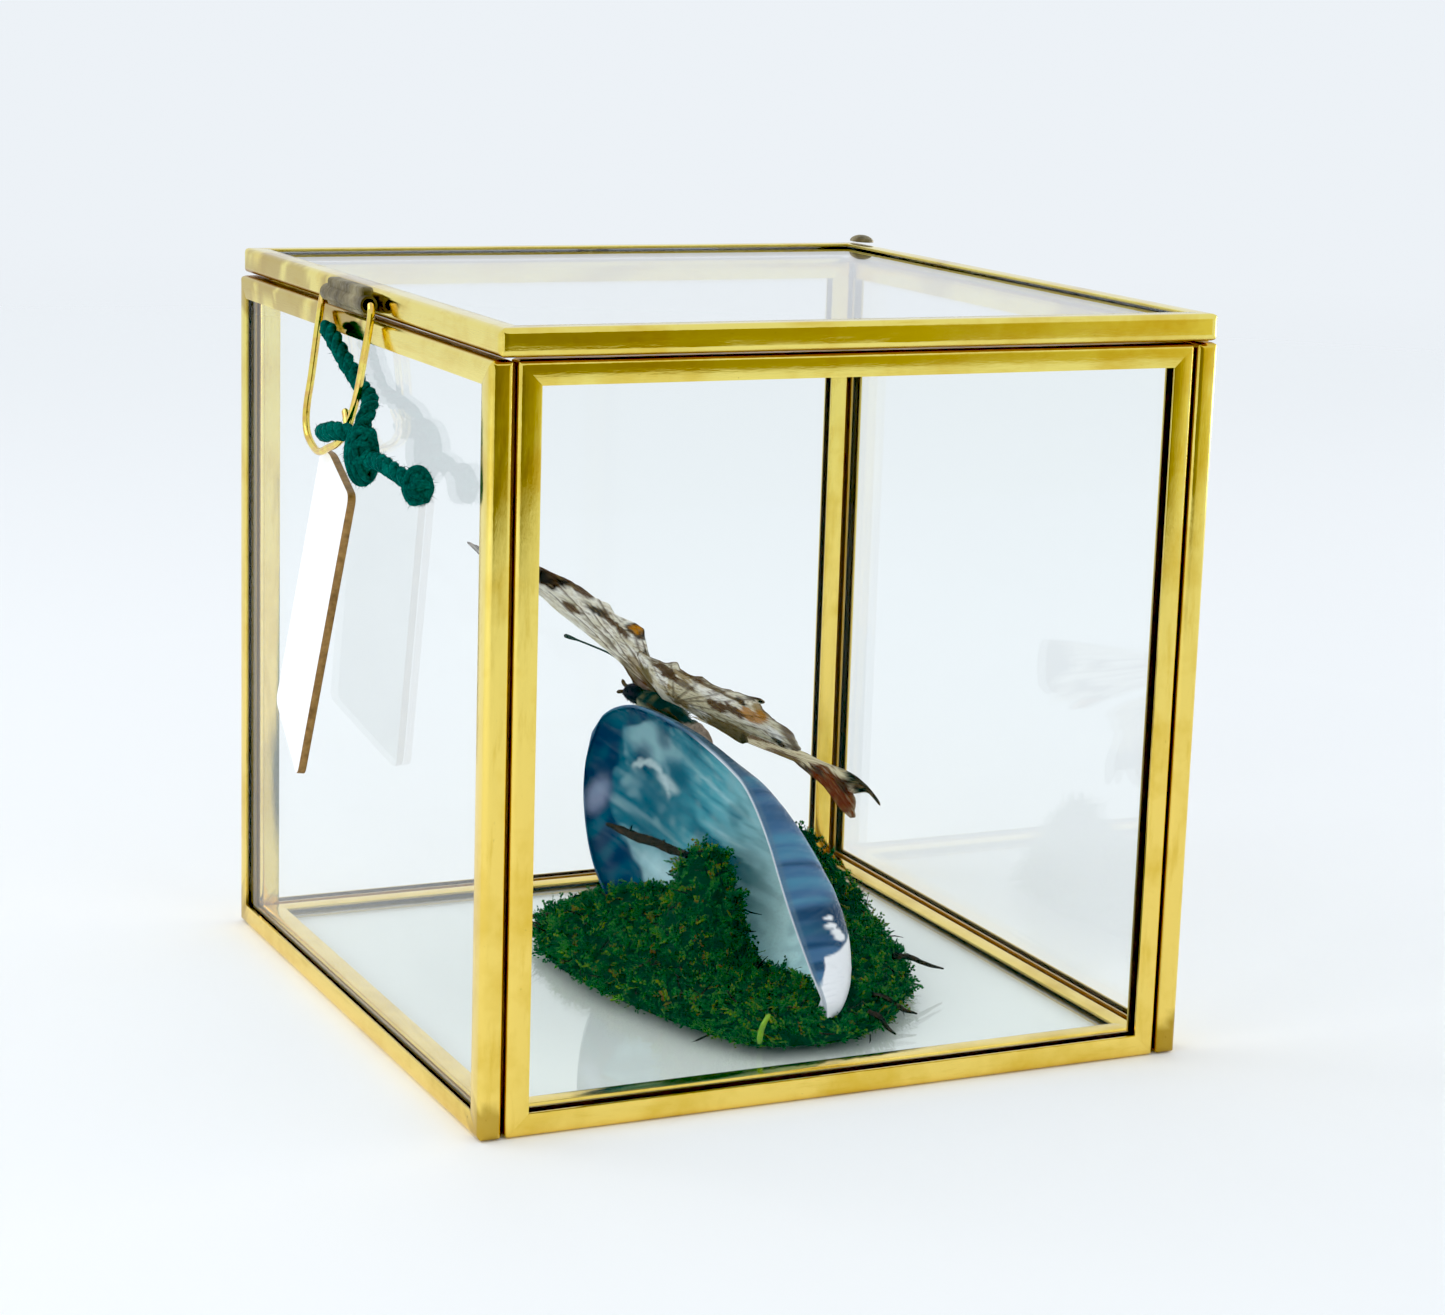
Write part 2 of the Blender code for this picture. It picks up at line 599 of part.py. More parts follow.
# Loose twigs and a sprout: start, end, radius at each, millimetres
twigs = {
    "twig_long": ((-8.0, 11.1, 21.3), (-4.4, -8.4, 21.6), 0.38, 0.55, TWIG),
    "twig_right": ((22.4, -19.6, 7.6), (30.4, -19.7, 5.0), 0.40, 0.25, TWIG),
    "twig_right_low": ((14.6, -28.6, 5.6), (18.9, -33.5, 4.0), 0.35, 0.25, TWIG),
    "twig_front": ((11.0, -34.4, 5.4), (12.8, -38.9, 3.5), 0.35, 0.25, TWIG),
    "twig_left": ((-11.6, 18.8, 5.6), (-15.0, 23.4, 5.0), 0.35, 0.25, TWIG),
    "sprout": ((-5.6, -35.2, 3.4), (-6.2, -38.0, 8.0), 0.35, 0.30, (0.32, 0.50, 0.03)),
}
moss = fromMesh(mossMesh())
valveRoom = fromMesh(valve.data.copy(), cutters)
for vert in valveRoom.data.vertices:
    vert.co += valve.data.vertices[vert.index].normal * (TOUCH_GAP * 1.3)
moss = combine(moss, valveRoom, "DIFFERENCE")
for name, (start, stop, thick, thin, colour) in twigs.items():
    twig = rod(name, Vector(start) * MM, Vector(stop) * MM, thick * MM, 8, thin * MM)
    place(smooth(twig), name, material(name, colour, roughness=0.8))
    reach = (Vector(stop) - Vector(start)).normalized() * 0.3
    room = rod("room", (Vector(start) - reach) * MM, (Vector(stop) + reach) * MM,
               (thick + 0.3) * MM, 10, (thin + 0.3) * MM)
    moss = combine(moss, room, "DIFFERENCE")


def keepLargest(thing):
    """Drop crumbs that a cut left loose."""
    work = bmesh.new()
    work.from_mesh(thing.data)
    left = set(work.verts)
    groups = []
    while left:
        group = set()
        stack = [next(iter(left))]
        while stack:
            vert = stack.pop()
            if vert in group:
                continue
            group.add(vert)
            stack.extend(edge.other_vert(vert) for edge in vert.link_edges)
        groups.append(group)
        left -= group
    groups.sort(key=len)
    for group in groups[:-1]:
        bmesh.ops.delete(work, geom=list(group), context="VERTS")
    work.to_mesh(thing.data)
    work.free()
    return thing


place(smooth(keepLargest(moss), 60), "moss_pad", material("moss_pad", MOSS, roughness=0.95))


# Butterfly
forward = BODY_FORWARD.normalized()
left = (BODY_LEFT - forward * forward.dot(BODY_LEFT)).normalized()
upward = forward.cross(left)


def bodyPoint(side, ahead, high):
    return BODY_AT + (left * side + forward * ahead + upward * high) * MM


def wingPoint(side, out, ahead, high):
    """Point of a wing plane (mm): side 1 is the left wing, -1 the right."""
    lift = DIHEDRAL_LEFT if side > 0 else DIHEDRAL_RIGHT
    outward = left * (side * math.cos(lift)) + upward * math.sin(lift)
    normal = upward * math.cos(lift) - left * (side * math.sin(lift))
    return BODY_AT + (outward * out + forward * ahead + normal * high) * MM


bodyLine = [(10.6, -1.0, 0.05), (10.3, -1.0, 0.70), (9.4, -0.8, 1.20), (8.3, -0.8, 1.25), (7.4, -1.0, 0.85),
            (6.5, -1.1, 1.35), (4.8, -1.2, 1.90), (2.8, -1.4, 2.00), (0.8, -1.7, 1.85), (-0.8, -2.0, 1.30),
            (-1.6, -2.2, 1.15), (-2.8, -2.5, 1.50), (-4.4, -2.8, 1.50), (-5.8, -3.1, 1.20),
            (-6.8, -3.3, 0.70), (-7.2, -3.4, 0.06)]
bodyPath = [bodyPoint(0.0, ahead, high) for ahead, high, radius in bodyLine]
body = wire("butterfly_body", bodyPath, 1.0 * MM, radii=[radius for ahead, high, radius in bodyLine], sides=3)
feelers = [
    ([(0.4, 9.0, -0.2), (0.6, 11.5, 1.5), (0.9, 15.0, 2.6), (2.4, 19.0, 2.1), (3.7, 22.3, 1.4)], 0.20, 1.9),
    ([(-0.4, 9.0, -0.2), (-1.0, 12.0, 2.3), (-1.8, 16.5, 4.6), (-2.3, 20.8, 6.2)], 0.20, 1.9),
    ([(0.4, 9.4, -0.6), (0.8, 10.9, -0.6), (1.2, 11.7, 0.3)], 0.28, 0.6),
    ([(-0.2, 9.4, -0.8), (0.0, 11.0, -1.7), (0.2, 11.7, -2.5)], 0.28, 0.6),
]
legs = [
    [(1.2, 5.2, -1.8), (2.2, 4.2, -2.2), (2.3, 2.0, -2.5), (1.6, -0.2, -2.8)],
    [(-1.2, 5.2, -1.8), (-2.2, 4.2, -2.2), (-2.3, 2.0, -2.5), (-1.6, -0.2, -2.8)],
    [(1.5, 2.6, -2.0), (2.6, 0.8, -2.0), (2.2, -1.4, -2.4), (1.3, -3.2, -3.0)],
    [(-1.5, 2.6, -2.0), (-2.6, 0.8, -2.0), (-2.2, -1.4, -2.4), (-1.3, -3.2, -3.0)],
]
for points, radius, club in feelers:
    path = easePath([bodyPoint(*point) for point in points], 2)
    sizes = [1.0] * len(path)
    if club > 1:
        sizes[-1] = club * 0.8
        sizes[-2] = club
    else:
        sizes[-1] = club
    body = combine(body, wire("feeler", path, radius * MM, radii=sizes, sides=1), "UNION")
for points in legs:
    path = easePath([bodyPoint(*point) for point in points], 2)
    body = combine(body, wire("leg", path, 0.22 * MM, sides=1), "UNION")
place(smooth(body, 60), "butterfly_body", material("butterfly_body", (0.10, 0.06, 0.05), roughness=0.9))

foreWing = [(2.6, 3.4), (6.0, 7.0), (10.0, 10.4), (15.0, 14.2), (20.0, 18.6), (24.0, 22.4), (27.0, 25.3),
            (28.0, 23.4), (27.8, 20.0), (27.2, 16.0), (26.9, 12.0), (26.4, 8.1), (25.0, 4.2), (23.4, 1.0),
            (21.8, -1.6), (20.2, -2.6), (18.6, -1.8), (15.0, -0.6), (10.0, 0.2), (5.0, 0.6), (2.6, 0.8)]
hindWingLeft = [(2.6, 0.2), (6.0, -0.1), (11.0, -0.7), (15.0, -1.6), (17.6, -2.9), (18.6, -5.2), (18.0, -7.6),
                (18.3, -10.0), (17.8, -12.4), (18.2, -15.0), (17.8, -17.4), (18.6, -19.6), (19.6, -22.2),
                (20.4, -24.8), (19.6, -25.0), (18.2, -22.6), (16.4, -21.2), (14.8, -23.0), (12.8, -24.8),
                (10.4, -25.6), (8.6, -24.4), (7.0, -21.0), (5.2, -17.0), (3.4, -12.0), (2.6, -7.0)]
hindWingRight = [(2.6, 0.2), (6.0, -0.1), (11.0, -0.7), (15.0, -1.6), (17.6, -2.9), (18.8, -5.2), (18.2, -7.6),
                 (18.5, -10.0), (18.0, -12.4), (18.4, -15.0), (18.9, -17.2), (19.6, -19.2), (20.2, -21.4),
                 (20.4, -23.4), (19.7, -23.6), (18.8, -21.4), (17.4, -19.6), (17.0, -21.4), (15.6, -23.2),
                 (13.6, -23.4), (12.0, -22.0), (10.8, -19.4), (8.0, -17.6), (5.0, -15.2), (3.2, -12.0),
                 (2.6, -7.0)]


def wing(name, side, outline, drop, droop, colour):
    """A thin wing cut from its outline; drop sets it under the plane, droop bends it (mm)."""
    thing = meshOf(flatCurve(name, [outline], WING_THICK / MM), 0.001)
    mesh = thing.data
    for vert in mesh.vertices:
        out, ahead, layer = vert.co
        vert.co = wingPoint(side, out, ahead, layer - drop - droop(out, ahead))
    work = bmesh.new()
    work.from_mesh(mesh)
    bmesh.ops.triangulate(work, faces=work.faces[:])
    bmesh.ops.recalc_face_normals(work, faces=work.faces[:])
    work.to_mesh(mesh)
    work.free()
    place(thing, name, material(name, colour, roughness=0.7))


def noDroop(out, ahead):
    return 0.0


def farDroop(out, ahead):
    """The far hindwing's lobe hangs down and its tail curls down a little."""
    past = max(-16.0 - ahead, 0.0)
    lobe = min(max((18.4 - out) / 1.6, 0.0), 1.0)
    return lobe * past * 0.66 + (1.0 - lobe) * 0.055 * max(-17.0 - ahead, 0.0) ** 2


wing("wing_fore_left", 1, foreWing, 0.0, noDroop, (0.62, 0.56, 0.48))
wing("wing_fore_right", -1, foreWing, 0.0, noDroop, (0.62, 0.56, 0.48))
wing("wing_hind_left", 1, hindWingLeft, 0.7, noDroop, (0.60, 0.52, 0.42))
wing("wing_hind_right", -1, hindWingRight, 0.7, farDroop, (0.58, 0.46, 0.36))

for spare in list(cutters.objects):
    bpy.data.objects.remove(spare, do_unlink=True)
bpy.data.collections.remove(cutters)
bpy.context.view_layer.update()
print("objects", len([thing for thing in part.objects if thing.type == "MESH"]))
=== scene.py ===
import math
import random

import bmesh
import bpy
from mathutils import Matrix, Vector, bvhtree, noise


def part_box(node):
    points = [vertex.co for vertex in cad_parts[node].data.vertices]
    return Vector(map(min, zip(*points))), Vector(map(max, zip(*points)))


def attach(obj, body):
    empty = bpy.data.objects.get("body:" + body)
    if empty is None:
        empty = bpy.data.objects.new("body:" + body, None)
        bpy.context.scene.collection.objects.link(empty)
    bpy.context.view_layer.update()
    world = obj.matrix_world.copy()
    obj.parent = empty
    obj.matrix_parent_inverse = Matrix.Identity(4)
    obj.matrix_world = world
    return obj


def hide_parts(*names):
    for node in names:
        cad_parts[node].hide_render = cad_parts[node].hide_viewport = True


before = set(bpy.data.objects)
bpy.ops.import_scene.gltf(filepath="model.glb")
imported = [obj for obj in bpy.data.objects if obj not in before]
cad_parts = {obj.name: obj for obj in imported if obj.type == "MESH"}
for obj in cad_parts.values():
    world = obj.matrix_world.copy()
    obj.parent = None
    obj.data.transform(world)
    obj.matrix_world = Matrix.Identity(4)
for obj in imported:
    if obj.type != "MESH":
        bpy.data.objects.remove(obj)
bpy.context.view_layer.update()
mm = 0.001
print("frame loaded,", len(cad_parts), "nodes")


def mix(a, b, share):
    return a + (b - a) * share


def ease(low, high, value):
    # 0 below low, 1 above high, smooth between
    share = min(max((value - low) / (high - low), 0.0), 1.0)
    return share * share * (3 - 2 * share)


def ripple(x, y, z):
    # smooth noise, about -1 to 1
    return noise.noise(Vector((x, y, z)))


def gaussWay(rng):
    return Vector((rng.gauss(0, 1), rng.gauss(0, 1), rng.gauss(0, 1)))


def link(thing):
    bpy.context.scene.collection.objects.link(thing)
    return thing


def paint(mesh, name, values):
    # one number or one colour per vertex, read by the materials
    if isinstance(values[0], (int, float)):
        layer = mesh.attributes.new(name, "FLOAT", "POINT")
        layer.data.foreach_set("value", [float(value) for value in values])
    else:
        layer = mesh.attributes.new(name, "FLOAT_VECTOR", "POINT")
        layer.data.foreach_set("vector", [float(part) for value in values for part in value])


def dress(mesh, name, look, body, replaced, smoothAngle):
    mesh.materials.clear()
    mesh.materials.append(look)
    mesh.shade_smooth()
    if smoothAngle < 180:
        mesh.set_sharp_from_angle(angle=math.radians(smoothAngle))
    thing = link(bpy.data.objects.new(name, mesh))
    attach(thing, body)
    if replaced:
        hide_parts(*replaced)
    return thing


def makePiece(name, verts, faces, look, body, slot, replaced, smoothAngle, marks=None, weld=0.0):
    # marks: values per vertex for the material, by name
    mesh = bpy.data.meshes.new(name)
    mesh.from_pydata([tuple(vert) for vert in verts], [], faces)
    mesh.validate()
    for mark, values in (marks or {}).items():
        paint(mesh, mark, values)
    work = bmesh.new()
    work.from_mesh(mesh)
    if weld:
        bmesh.ops.remove_doubles(work, verts=work.verts[:], dist=weld)
    bmesh.ops.recalc_face_normals(work, faces=work.faces[:])
    work.to_mesh(mesh)
    work.free()
    return dress(mesh, name, look, body, replaced, smoothAngle)


def coat(node, material):
    # a CAD solid keeps its shape and takes a material
    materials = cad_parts[node].data.materials
    materials.clear()
    materials.append(material)


def scaled(points):
    return [Vector(point) * mm for point in points]


def easePath(points, steps):
    # a smooth line through a few points
    path = [Vector(point) for point in points]
    out = []
    for index in range(len(path) - 1):
        before = path[max(index - 1, 0)]
        after = path[min(index + 2, len(path) - 1)]
        start, end = path[index], path[index + 1]
        for step in range(steps):
            share = step / steps
            a = start * 2
            b = (end - before) * share
            c = (before * 2 - start * 5 + end * 4 - after) * share ** 2
            d = (start * 3 - before - end * 3 + after) * share ** 3
            out.append((a + b + c + d) / 2)
    out.append(path[-1])
    return out


def easeRadii(radii, steps, least):
    return [max(spot.x, least) for spot in easePath([(radius, 0, 0) for radius in radii], steps)]


def frames(path, closed=False):
    # a direction and two sides at each point, turning as little as possible
    count = len(path)
    out = []
    side = None
    for index in range(count):
        before = path[index - 1] if closed or index else path[0]
        after = path[(index + 1) % count] if closed or index < count - 1 else path[-1]
        ahead = (after - before).normalized()
        if side is None:
            side = ahead.orthogonal().normalized()
        side = (side - ahead * ahead.dot(side)).normalized()
        out.append((ahead, side, ahead.cross(side)))
    return out


def ringFaces(rows, size, closed=False, capped=True):
    # quads between rows of points, each row a ring, and a face over each end
    faces = []
    for row in range(rows if closed else rows - 1):
        low = row * size
        high = (row + 1) % rows * size
        for turn in range(size):
            after = (turn + 1) % size
            faces.append([low + turn, low + after, high + after, high + turn])
    if capped and not closed:
        faces.append(list(range(size))[::-1])
        faces.append([(rows - 1) * size + turn for turn in range(size)])
    return faces


def tube(path, radius, sides, closed=False, shape=None):
    # verts and faces of a round rod; radius is a number or one per point
    radii = radius if isinstance(radius, (list, tuple)) else [radius] * len(path)
    verts = []
    for index, (ahead, side, across) in enumerate(frames(path, closed)):
        for turn in range(sides):
            angle = 2 * math.pi * turn / sides
            reach = radii[index] * (shape(index, angle) if shape else 1.0)
            verts.append(path[index] + (side * math.cos(angle) + across * math.sin(angle)) * reach)
    return verts, ringFaces(len(path), sides, closed)


def joined(parts):
    verts = []
    faces = []
    for more, shapes in parts:
        start = len(verts)
        verts.extend(more)
        faces.extend([[start + corner for corner in face] for face in shapes])
    return verts, faces


class Look:
    # a material and short ways to add nodes to it

    def __init__(self, name, **settings):
        self.material = bpy.data.materials.new(name)
        self.material.use_nodes = True
        self.tree = self.material.node_tree
        self.shader = self.tree.nodes["Principled BSDF"]
        self.set(**settings)

    def fill(self, socket, value):
        if isinstance(value, bpy.types.NodeSocket):
            self.tree.links.new(value, socket)
        elif socket.type == "RGBA" and isinstance(value, (tuple, list)) and len(value) == 3:
            socket.default_value = (*value, 1.0)
        else:
            socket.default_value = value

    def set(self, **settings):
        for key, value in settings.items():
            self.fill(self.shader.inputs[key.replace("_", " ")], value)

    def node(self, kind, inputs=None, output=0, **settings):
        made = self.tree.nodes.new("ShaderNode" + kind)
        for key, value in settings.items():
            setattr(made, key, value)
        for key, value in (inputs or {}).items():
            self.fill(made.inputs[key], value)
        return made.outputs[output]

    def stretched(self, where, *stretch):
        return self.node("Mapping", {"Vector": where, "Scale": stretch})

    def place(self, stretch=1.0):
        # metres in the case's own frame, stretched
        return self.stretched(self.node("TexCoord", output="Object"), stretch, stretch, stretch)

    def noise(self, scale, detail=3.0, rough=0.55, where=None):
        return self.node("TexNoise", {"Vector": where or self.place(), "Scale": scale, "Detail": detail,
                                      "Roughness": rough})

    def ramp(self, value, stops):
        made = self.tree.nodes.new("ShaderNodeValToRGB")
        self.tree.links.new(value, made.inputs[0])
        while len(made.color_ramp.elements) < len(stops):
            made.color_ramp.elements.new(0.5)
        for element, (at, colour) in zip(made.color_ramp.elements, stops):
            element.position = at
            element.color = (*colour, 1.0)
        return made.outputs[0]

    def range(self, value, low, high, toLow=0.0, toHigh=1.0):
        return self.node("MapRange", {"Value": value, "From Min": low, "From Max": high,
                                      "To Min": toLow, "To Max": toHigh}, clamp=True)

    def maths(self, operation, first, second=0.0):
        return self.node("Math", {0: first, 1: second}, operation=operation)

    def blend(self, share, first, second, kind="MIX"):
        return self.node("Mix", {0: share, 6: first, 7: second}, 2, data_type="RGBA", blend_type=kind)

    def attribute(self, name, output="Fac"):
        return self.node("Attribute", output=output, attribute_name=name)

    def bump(self, height, distance, strength=1.0):
        return self.node("Bump", {"Height": height, "Distance": distance, "Strength": strength})


view = {
    "azimuth": -25.313, "elevation": 12.105, "roll": 1.799,   # degrees
    "aim": (0.0, 0.0, 0.0498), "distance": 0.4537,            # metres
    "right": 0.00401, "up": -0.00246,
    "focus": 3275.0, "width": 1445.0, "sensor": 36.0,         # pixels, pixels, mm
}


def makeCamera():
    azimuth = math.radians(view["azimuth"])
    elevation = math.radians(view["elevation"])
    roll = math.radians(view["roll"])
    ahead = Vector((-math.sin(azimuth) * math.cos(elevation), math.cos(azimuth) * math.cos(elevation),
                    -math.sin(elevation)))
    right = Vector((math.cos(azimuth), math.sin(azimuth), 0.0))
    up = right.cross(ahead)
    at = Vector(view["aim"]) - ahead * view["distance"] + right * view["right"] + up * view["up"]
    rolledRight = right * math.cos(roll) + up * math.sin(roll)
    rolledUp = up * math.cos(roll) - right * math.sin(roll)
    lens = bpy.data.cameras.new("camera")
    lens.sensor_width = view["sensor"]
    lens.lens = view["sensor"] * view["focus"] / view["width"]
    lens.clip_start = 0.01
    camera = bpy.data.objects.new("camera", lens)
    camera.matrix_world = Matrix((rolledRight, rolledUp, -ahead)).transposed().to_4x4()
    camera.matrix_world.translation = at
    bpy.context.scene.camera = link(camera)


studio = {
    "sky": (0.862, 0.902, 0.945), "skyStrength": 0.985, "blackLevel": (0.024, 0.016, 0.018),
    "floorTint": (0.91, 0.92, 0.925), "floorSize": 3.0, "floorAt": -0.00003,
    "floorFade": (0.25, 1.1),     # metres out, where the floor begins and ends to fade into the sky
    "keyPower": 1.3, "keySize": 0.5, "keyAt": (-0.55, 0.25, 0.75), "keyTo": (0.0, 0.0, 0.05),
    "fillPower": 1.0, "fillSize": 0.35, "fillAt": (-0.62, -0.26, 0.20), "fillTo": (0.0, 0.0, 0.03),
    # the dim room in front of the case and the bright window beside it, seen only in the brass
    "roomAt": (0.08, -0.465, 0.16), "roomSize": (0.62, 0.36), "roomTurn": 0.0,
    "roomTints": [(0.0, (0.20, 0.17, 0.0)), (0.48, (0.22, 0.19, 0.0)), (0.72, (0.40, 0.34, 0.04)),
                  (0.92, (0.80, 0.74, 0.36))],
    "windowAt": (0.62, 0.16, 0.20), "windowSize": (0.62, 0.44), "windowTurn": 90.0,
    "windowTints": [(0.0, (4.2, 4.4, 4.8))],
}


def stageSheet(name, corners, look):
    # a flat sheet that is only part of the studio
    mesh = bpy.data.meshes.new(name)
    mesh.from_pydata(corners, [], [(0, 1, 2, 3)])
    mesh.materials.append(look.material)
    sheet = link(bpy.data.objects.new(name, mesh))
    return sheet


def makeReflected(name):
    # an upright card that only reflections show, tinted from its left edge to its right
    look = Look("studio_" + name, Base_Color=(0, 0, 0), Roughness=1.0, Specular_IOR_Level=0.0)
    spread = look.node("SeparateXYZ", {0: look.node("TexCoord", output="Generated")}, "X")
    strongest = max(max(tint) for share, tint in studio[name + "Tints"])
    stops = [(share, tuple(part / strongest for part in tint)) for share, tint in studio[name + "Tints"]]
    look.set(Emission_Color=look.ramp(spread, stops), Emission_Strength=strongest)
    x, z = [size / 2 for size in studio[name + "Size"]]
    card = stageSheet("studio_" + name, [(-x, 0, -z), (x, 0, -z), (x, 0, z), (-x, 0, z)], look)
    card.location = studio[name + "At"]
    card.rotation_euler.z = math.radians(studio[name + "Turn"])
    for ray in ("camera", "diffuse", "transmission", "shadow"):
        setattr(card, "visible_" + ray, False)


def makeLamp(name, inReflections):
    light = bpy.data.lights.new(name, "AREA")
    light.energy = studio[name + "Power"]
    light.size = studio[name + "Size"]
    lamp = link(bpy.data.objects.new(name, light))
    lamp.location = studio[name + "At"]
    lamp.rotation_euler = (Vector(studio[name + "To"]) - lamp.location).to_track_quat("-Z", "Y").to_euler()
    lamp.visible_glossy = inReflections


def makeStudio():
    scene = bpy.context.scene
    scene.world = bpy.data.worlds.new("studio")
    scene.world.use_nodes = True
    sky = scene.world.node_tree.nodes["Background"]
    sky.inputs["Color"].default_value = (*studio["sky"], 1.0)
    sky.inputs["Strength"].default_value = studio["skyStrength"]
    look = Look("studio_floor", Base_Color=studio["floorTint"], Roughness=0.9)
    away = look.node("VectorMath", {0: look.place()}, "Value", operation="LENGTH")
    look.set(Alpha=look.range(away, *studio["floorFade"], 1.0, 0.0))
    x = studio["floorSize"]
    floor = stageSheet("studio_floor", [(-x, -x, 0), (x, -x, 0), (x, x, 0), (-x, x, 0)], look)
    floor.location.z = studio["floorAt"]
    makeLamp("key", True)
    makeLamp("fill", False)
    makeReflected("room")
    makeReflected("window")
    scene.view_settings.view_transform = "Standard"
    scene.view_settings.use_curve_mapping = True
    scene.view_settings.curve_mapping.black_level = studio["blackLevel"]
    scene.cycles.blur_glossy = 0.0     # light keeps its way through the panes


makeCamera()
makeStudio()
print("camera and studio made")


tag = {
    "corners": [(1.2, -0.6), (21.1, 0.4), (18.2, 39.6), (13.0, 41.2), (-2.0, 41.8)],   # mm, in its own plane
    "cut": 1.6, "thick": 1.15, "at": (-57.0, 0.0, 34.5), "edge": 0.12,
    "side": (0.148, 0.957, 0.252), "up": (0.062, -0.263, 0.963),
    "white": [(0.35, (0.93, 0.935, 0.94)), (0.65, (0.97, 0.97, 0.97))],
    "bronze": [(0.3, (0.16, 0.075, 0.015)), (0.7, (0.36, 0.20, 0.06))],
}


def tagOutline():
    # its corners are rounded by short curves
    corners = [Vector(corner) for corner in tag["corners"]]
    outline = []
    for index, corner in enumerate(corners):
        before = (corners[index - 1] - corner).normalized() * tag["cut"]
        after = (corners[(index + 1) % len(corners)] - corner).normalized() * tag["cut"]
        for step in range(9):
            share = step / 8
            outline.append((1 - share) ** 2 * (corner + before) + 2 * share * (1 - share) * corner
                           + share ** 2 * (corner + after))
    return outline


def makeTag():
    side = Vector(tag["side"]).normalized()
    up = Vector(tag["up"])
    up = (up - side * side.dot(up)).normalized()
    out = side.cross(up)
    outline = tagOutline()
    centre = sum(outline, Vector((0, 0))) / len(outline)
    edge = tag["edge"]
    verts, rim = [], []
    for high, inset in ((0.0, edge), (edge, 0.0), (tag["thick"] - edge, 0.0), (tag["thick"], edge)):
        for point in outline:
            pulled = point + (centre - point).normalized() * inset
            verts.append((Vector(tag["at"]) + side * pulled.x + up * pulled.y + out * high) * mm)
            rim.append(1.0 if inset == 0.0 else 0.0)
    look = Look("white_tag", Roughness=0.45)
    paper = look.noise(900.0, 4.0)
    white = look.ramp(look.noise(160.0, 3.0), tag["white"])
    bronze = look.ramp(paper, tag["bronze"])
    edgeShare = look.range(look.attribute("edgePaint"), 0.25, 0.5)
    look.set(Base_Color=look.blend(edgeShare, white, bronze), Normal=look.bump(paper, 0.00003, 0.5))
    print("tag made")
    return makePiece("hanging_tag", verts, ringFaces(4, len(outline)), look.material, "pull_loop", "tag",
                     ["tag"], 30, {"edgePaint": rim})


hangingTag = makeTag()


yarn = {
    "radius": 0.75, "drawn": 1.12, "plies": 3, "turnsPerMm": 0.16, "fuzz": 4400,   # mm
    # how far out the strands lie and how thick they are, as shares of the drawn radius
    "lay": 0.46, "swell": 0.60,
    "wound": 0.50, "fibre": (0.026, 0.020, 0.008),                                 # mm
    "route": [(-51.7, 5.6, 93.5), (-51.5, 3.0, 92.2), (-51.1, -0.5, 89.8), (-50.7, -3.2, 88.2),
              (-50.55, -5.8, 86.9), (-50.6, -8.4, 86.2), (-51.2, -11.0, 85.6), (-52.2, -12.6, 84.7),
              (-53.3, -13.9, 82.6), (-53.6, -15.2, 80.6), (-53.3, -16.6, 79.5), (-53.0, -18.0, 79.4),
              (-53.2, -21.0, 79.6), (-53.2, -24.0, 79.4), (-52.9, -26.6, 79.0), (-52.6, -29.2, 78.6),
              (-52.4, -31.0, 78.4)],
    "wrap": [(-53.9, -12.4, 82.0), (-55.0, -10.6, 82.1), (-55.4, -8.0, 81.8), (-55.1, -5.0, 81.2),
             (-54.6, -2.6, 80.9)],
    "knotAt": (-53.5, -14.6, 79.8), "knotSize": (2.1, 3.0, 4.5), "knotWraps": 9,
    "endAt": (-52.3, -31.9, 78.3), "endSize": (1.7, 2.6, 2.6), "endWraps": 6,
    "tints": [(0.30, (0.0, 0.020, 0.020)), (0.52, (0.0, 0.085, 0.068)), (0.75, (0.004, 0.20, 0.150))],
}


def yarnLook():
    look = Look("yarn_wool", Roughness=0.95, Specular_IOR_Level=0.1, Sheen_Weight=0.08, Sheen_Roughness=0.4)
    grain = look.noise(2600.0, 4.0)
    patch = look.noise(420.0, 2.0)
    shade = look.maths("ADD", look.maths("MULTIPLY", grain, 0.6), look.maths("MULTIPLY", patch, 0.4))
    look.set(Base_Color=look.ramp(shade, yarn["tints"]), Normal=look.bump(grain, 0.00012))
    return look.material


def plied(route, radius, turnsPerMm):
    # strands laid round each other along a route
    path = easePath(scaled(route), 5)
    reach = radius * mm
    plies = yarn["plies"]
    parts = []
    for ply in range(plies):
        line = []
        run = 0.0
        for index, (ahead, side, across) in enumerate(frames(path)):
            if index:
                run += (path[index] - path[index - 1]).length / mm
            turn = 2 * math.pi * (run * turnsPerMm + ply / plies)
            line.append(path[index] + (side * math.cos(turn) + across * math.sin(turn)) * reach * yarn["lay"])
        swell = [reach * (yarn["swell"] + 0.09 * noise.noise(point * 900 + Vector((ply * 5, 0, 0))))
                 for point in line]
        parts.append(tube(line, swell, 8))
    return parts, path


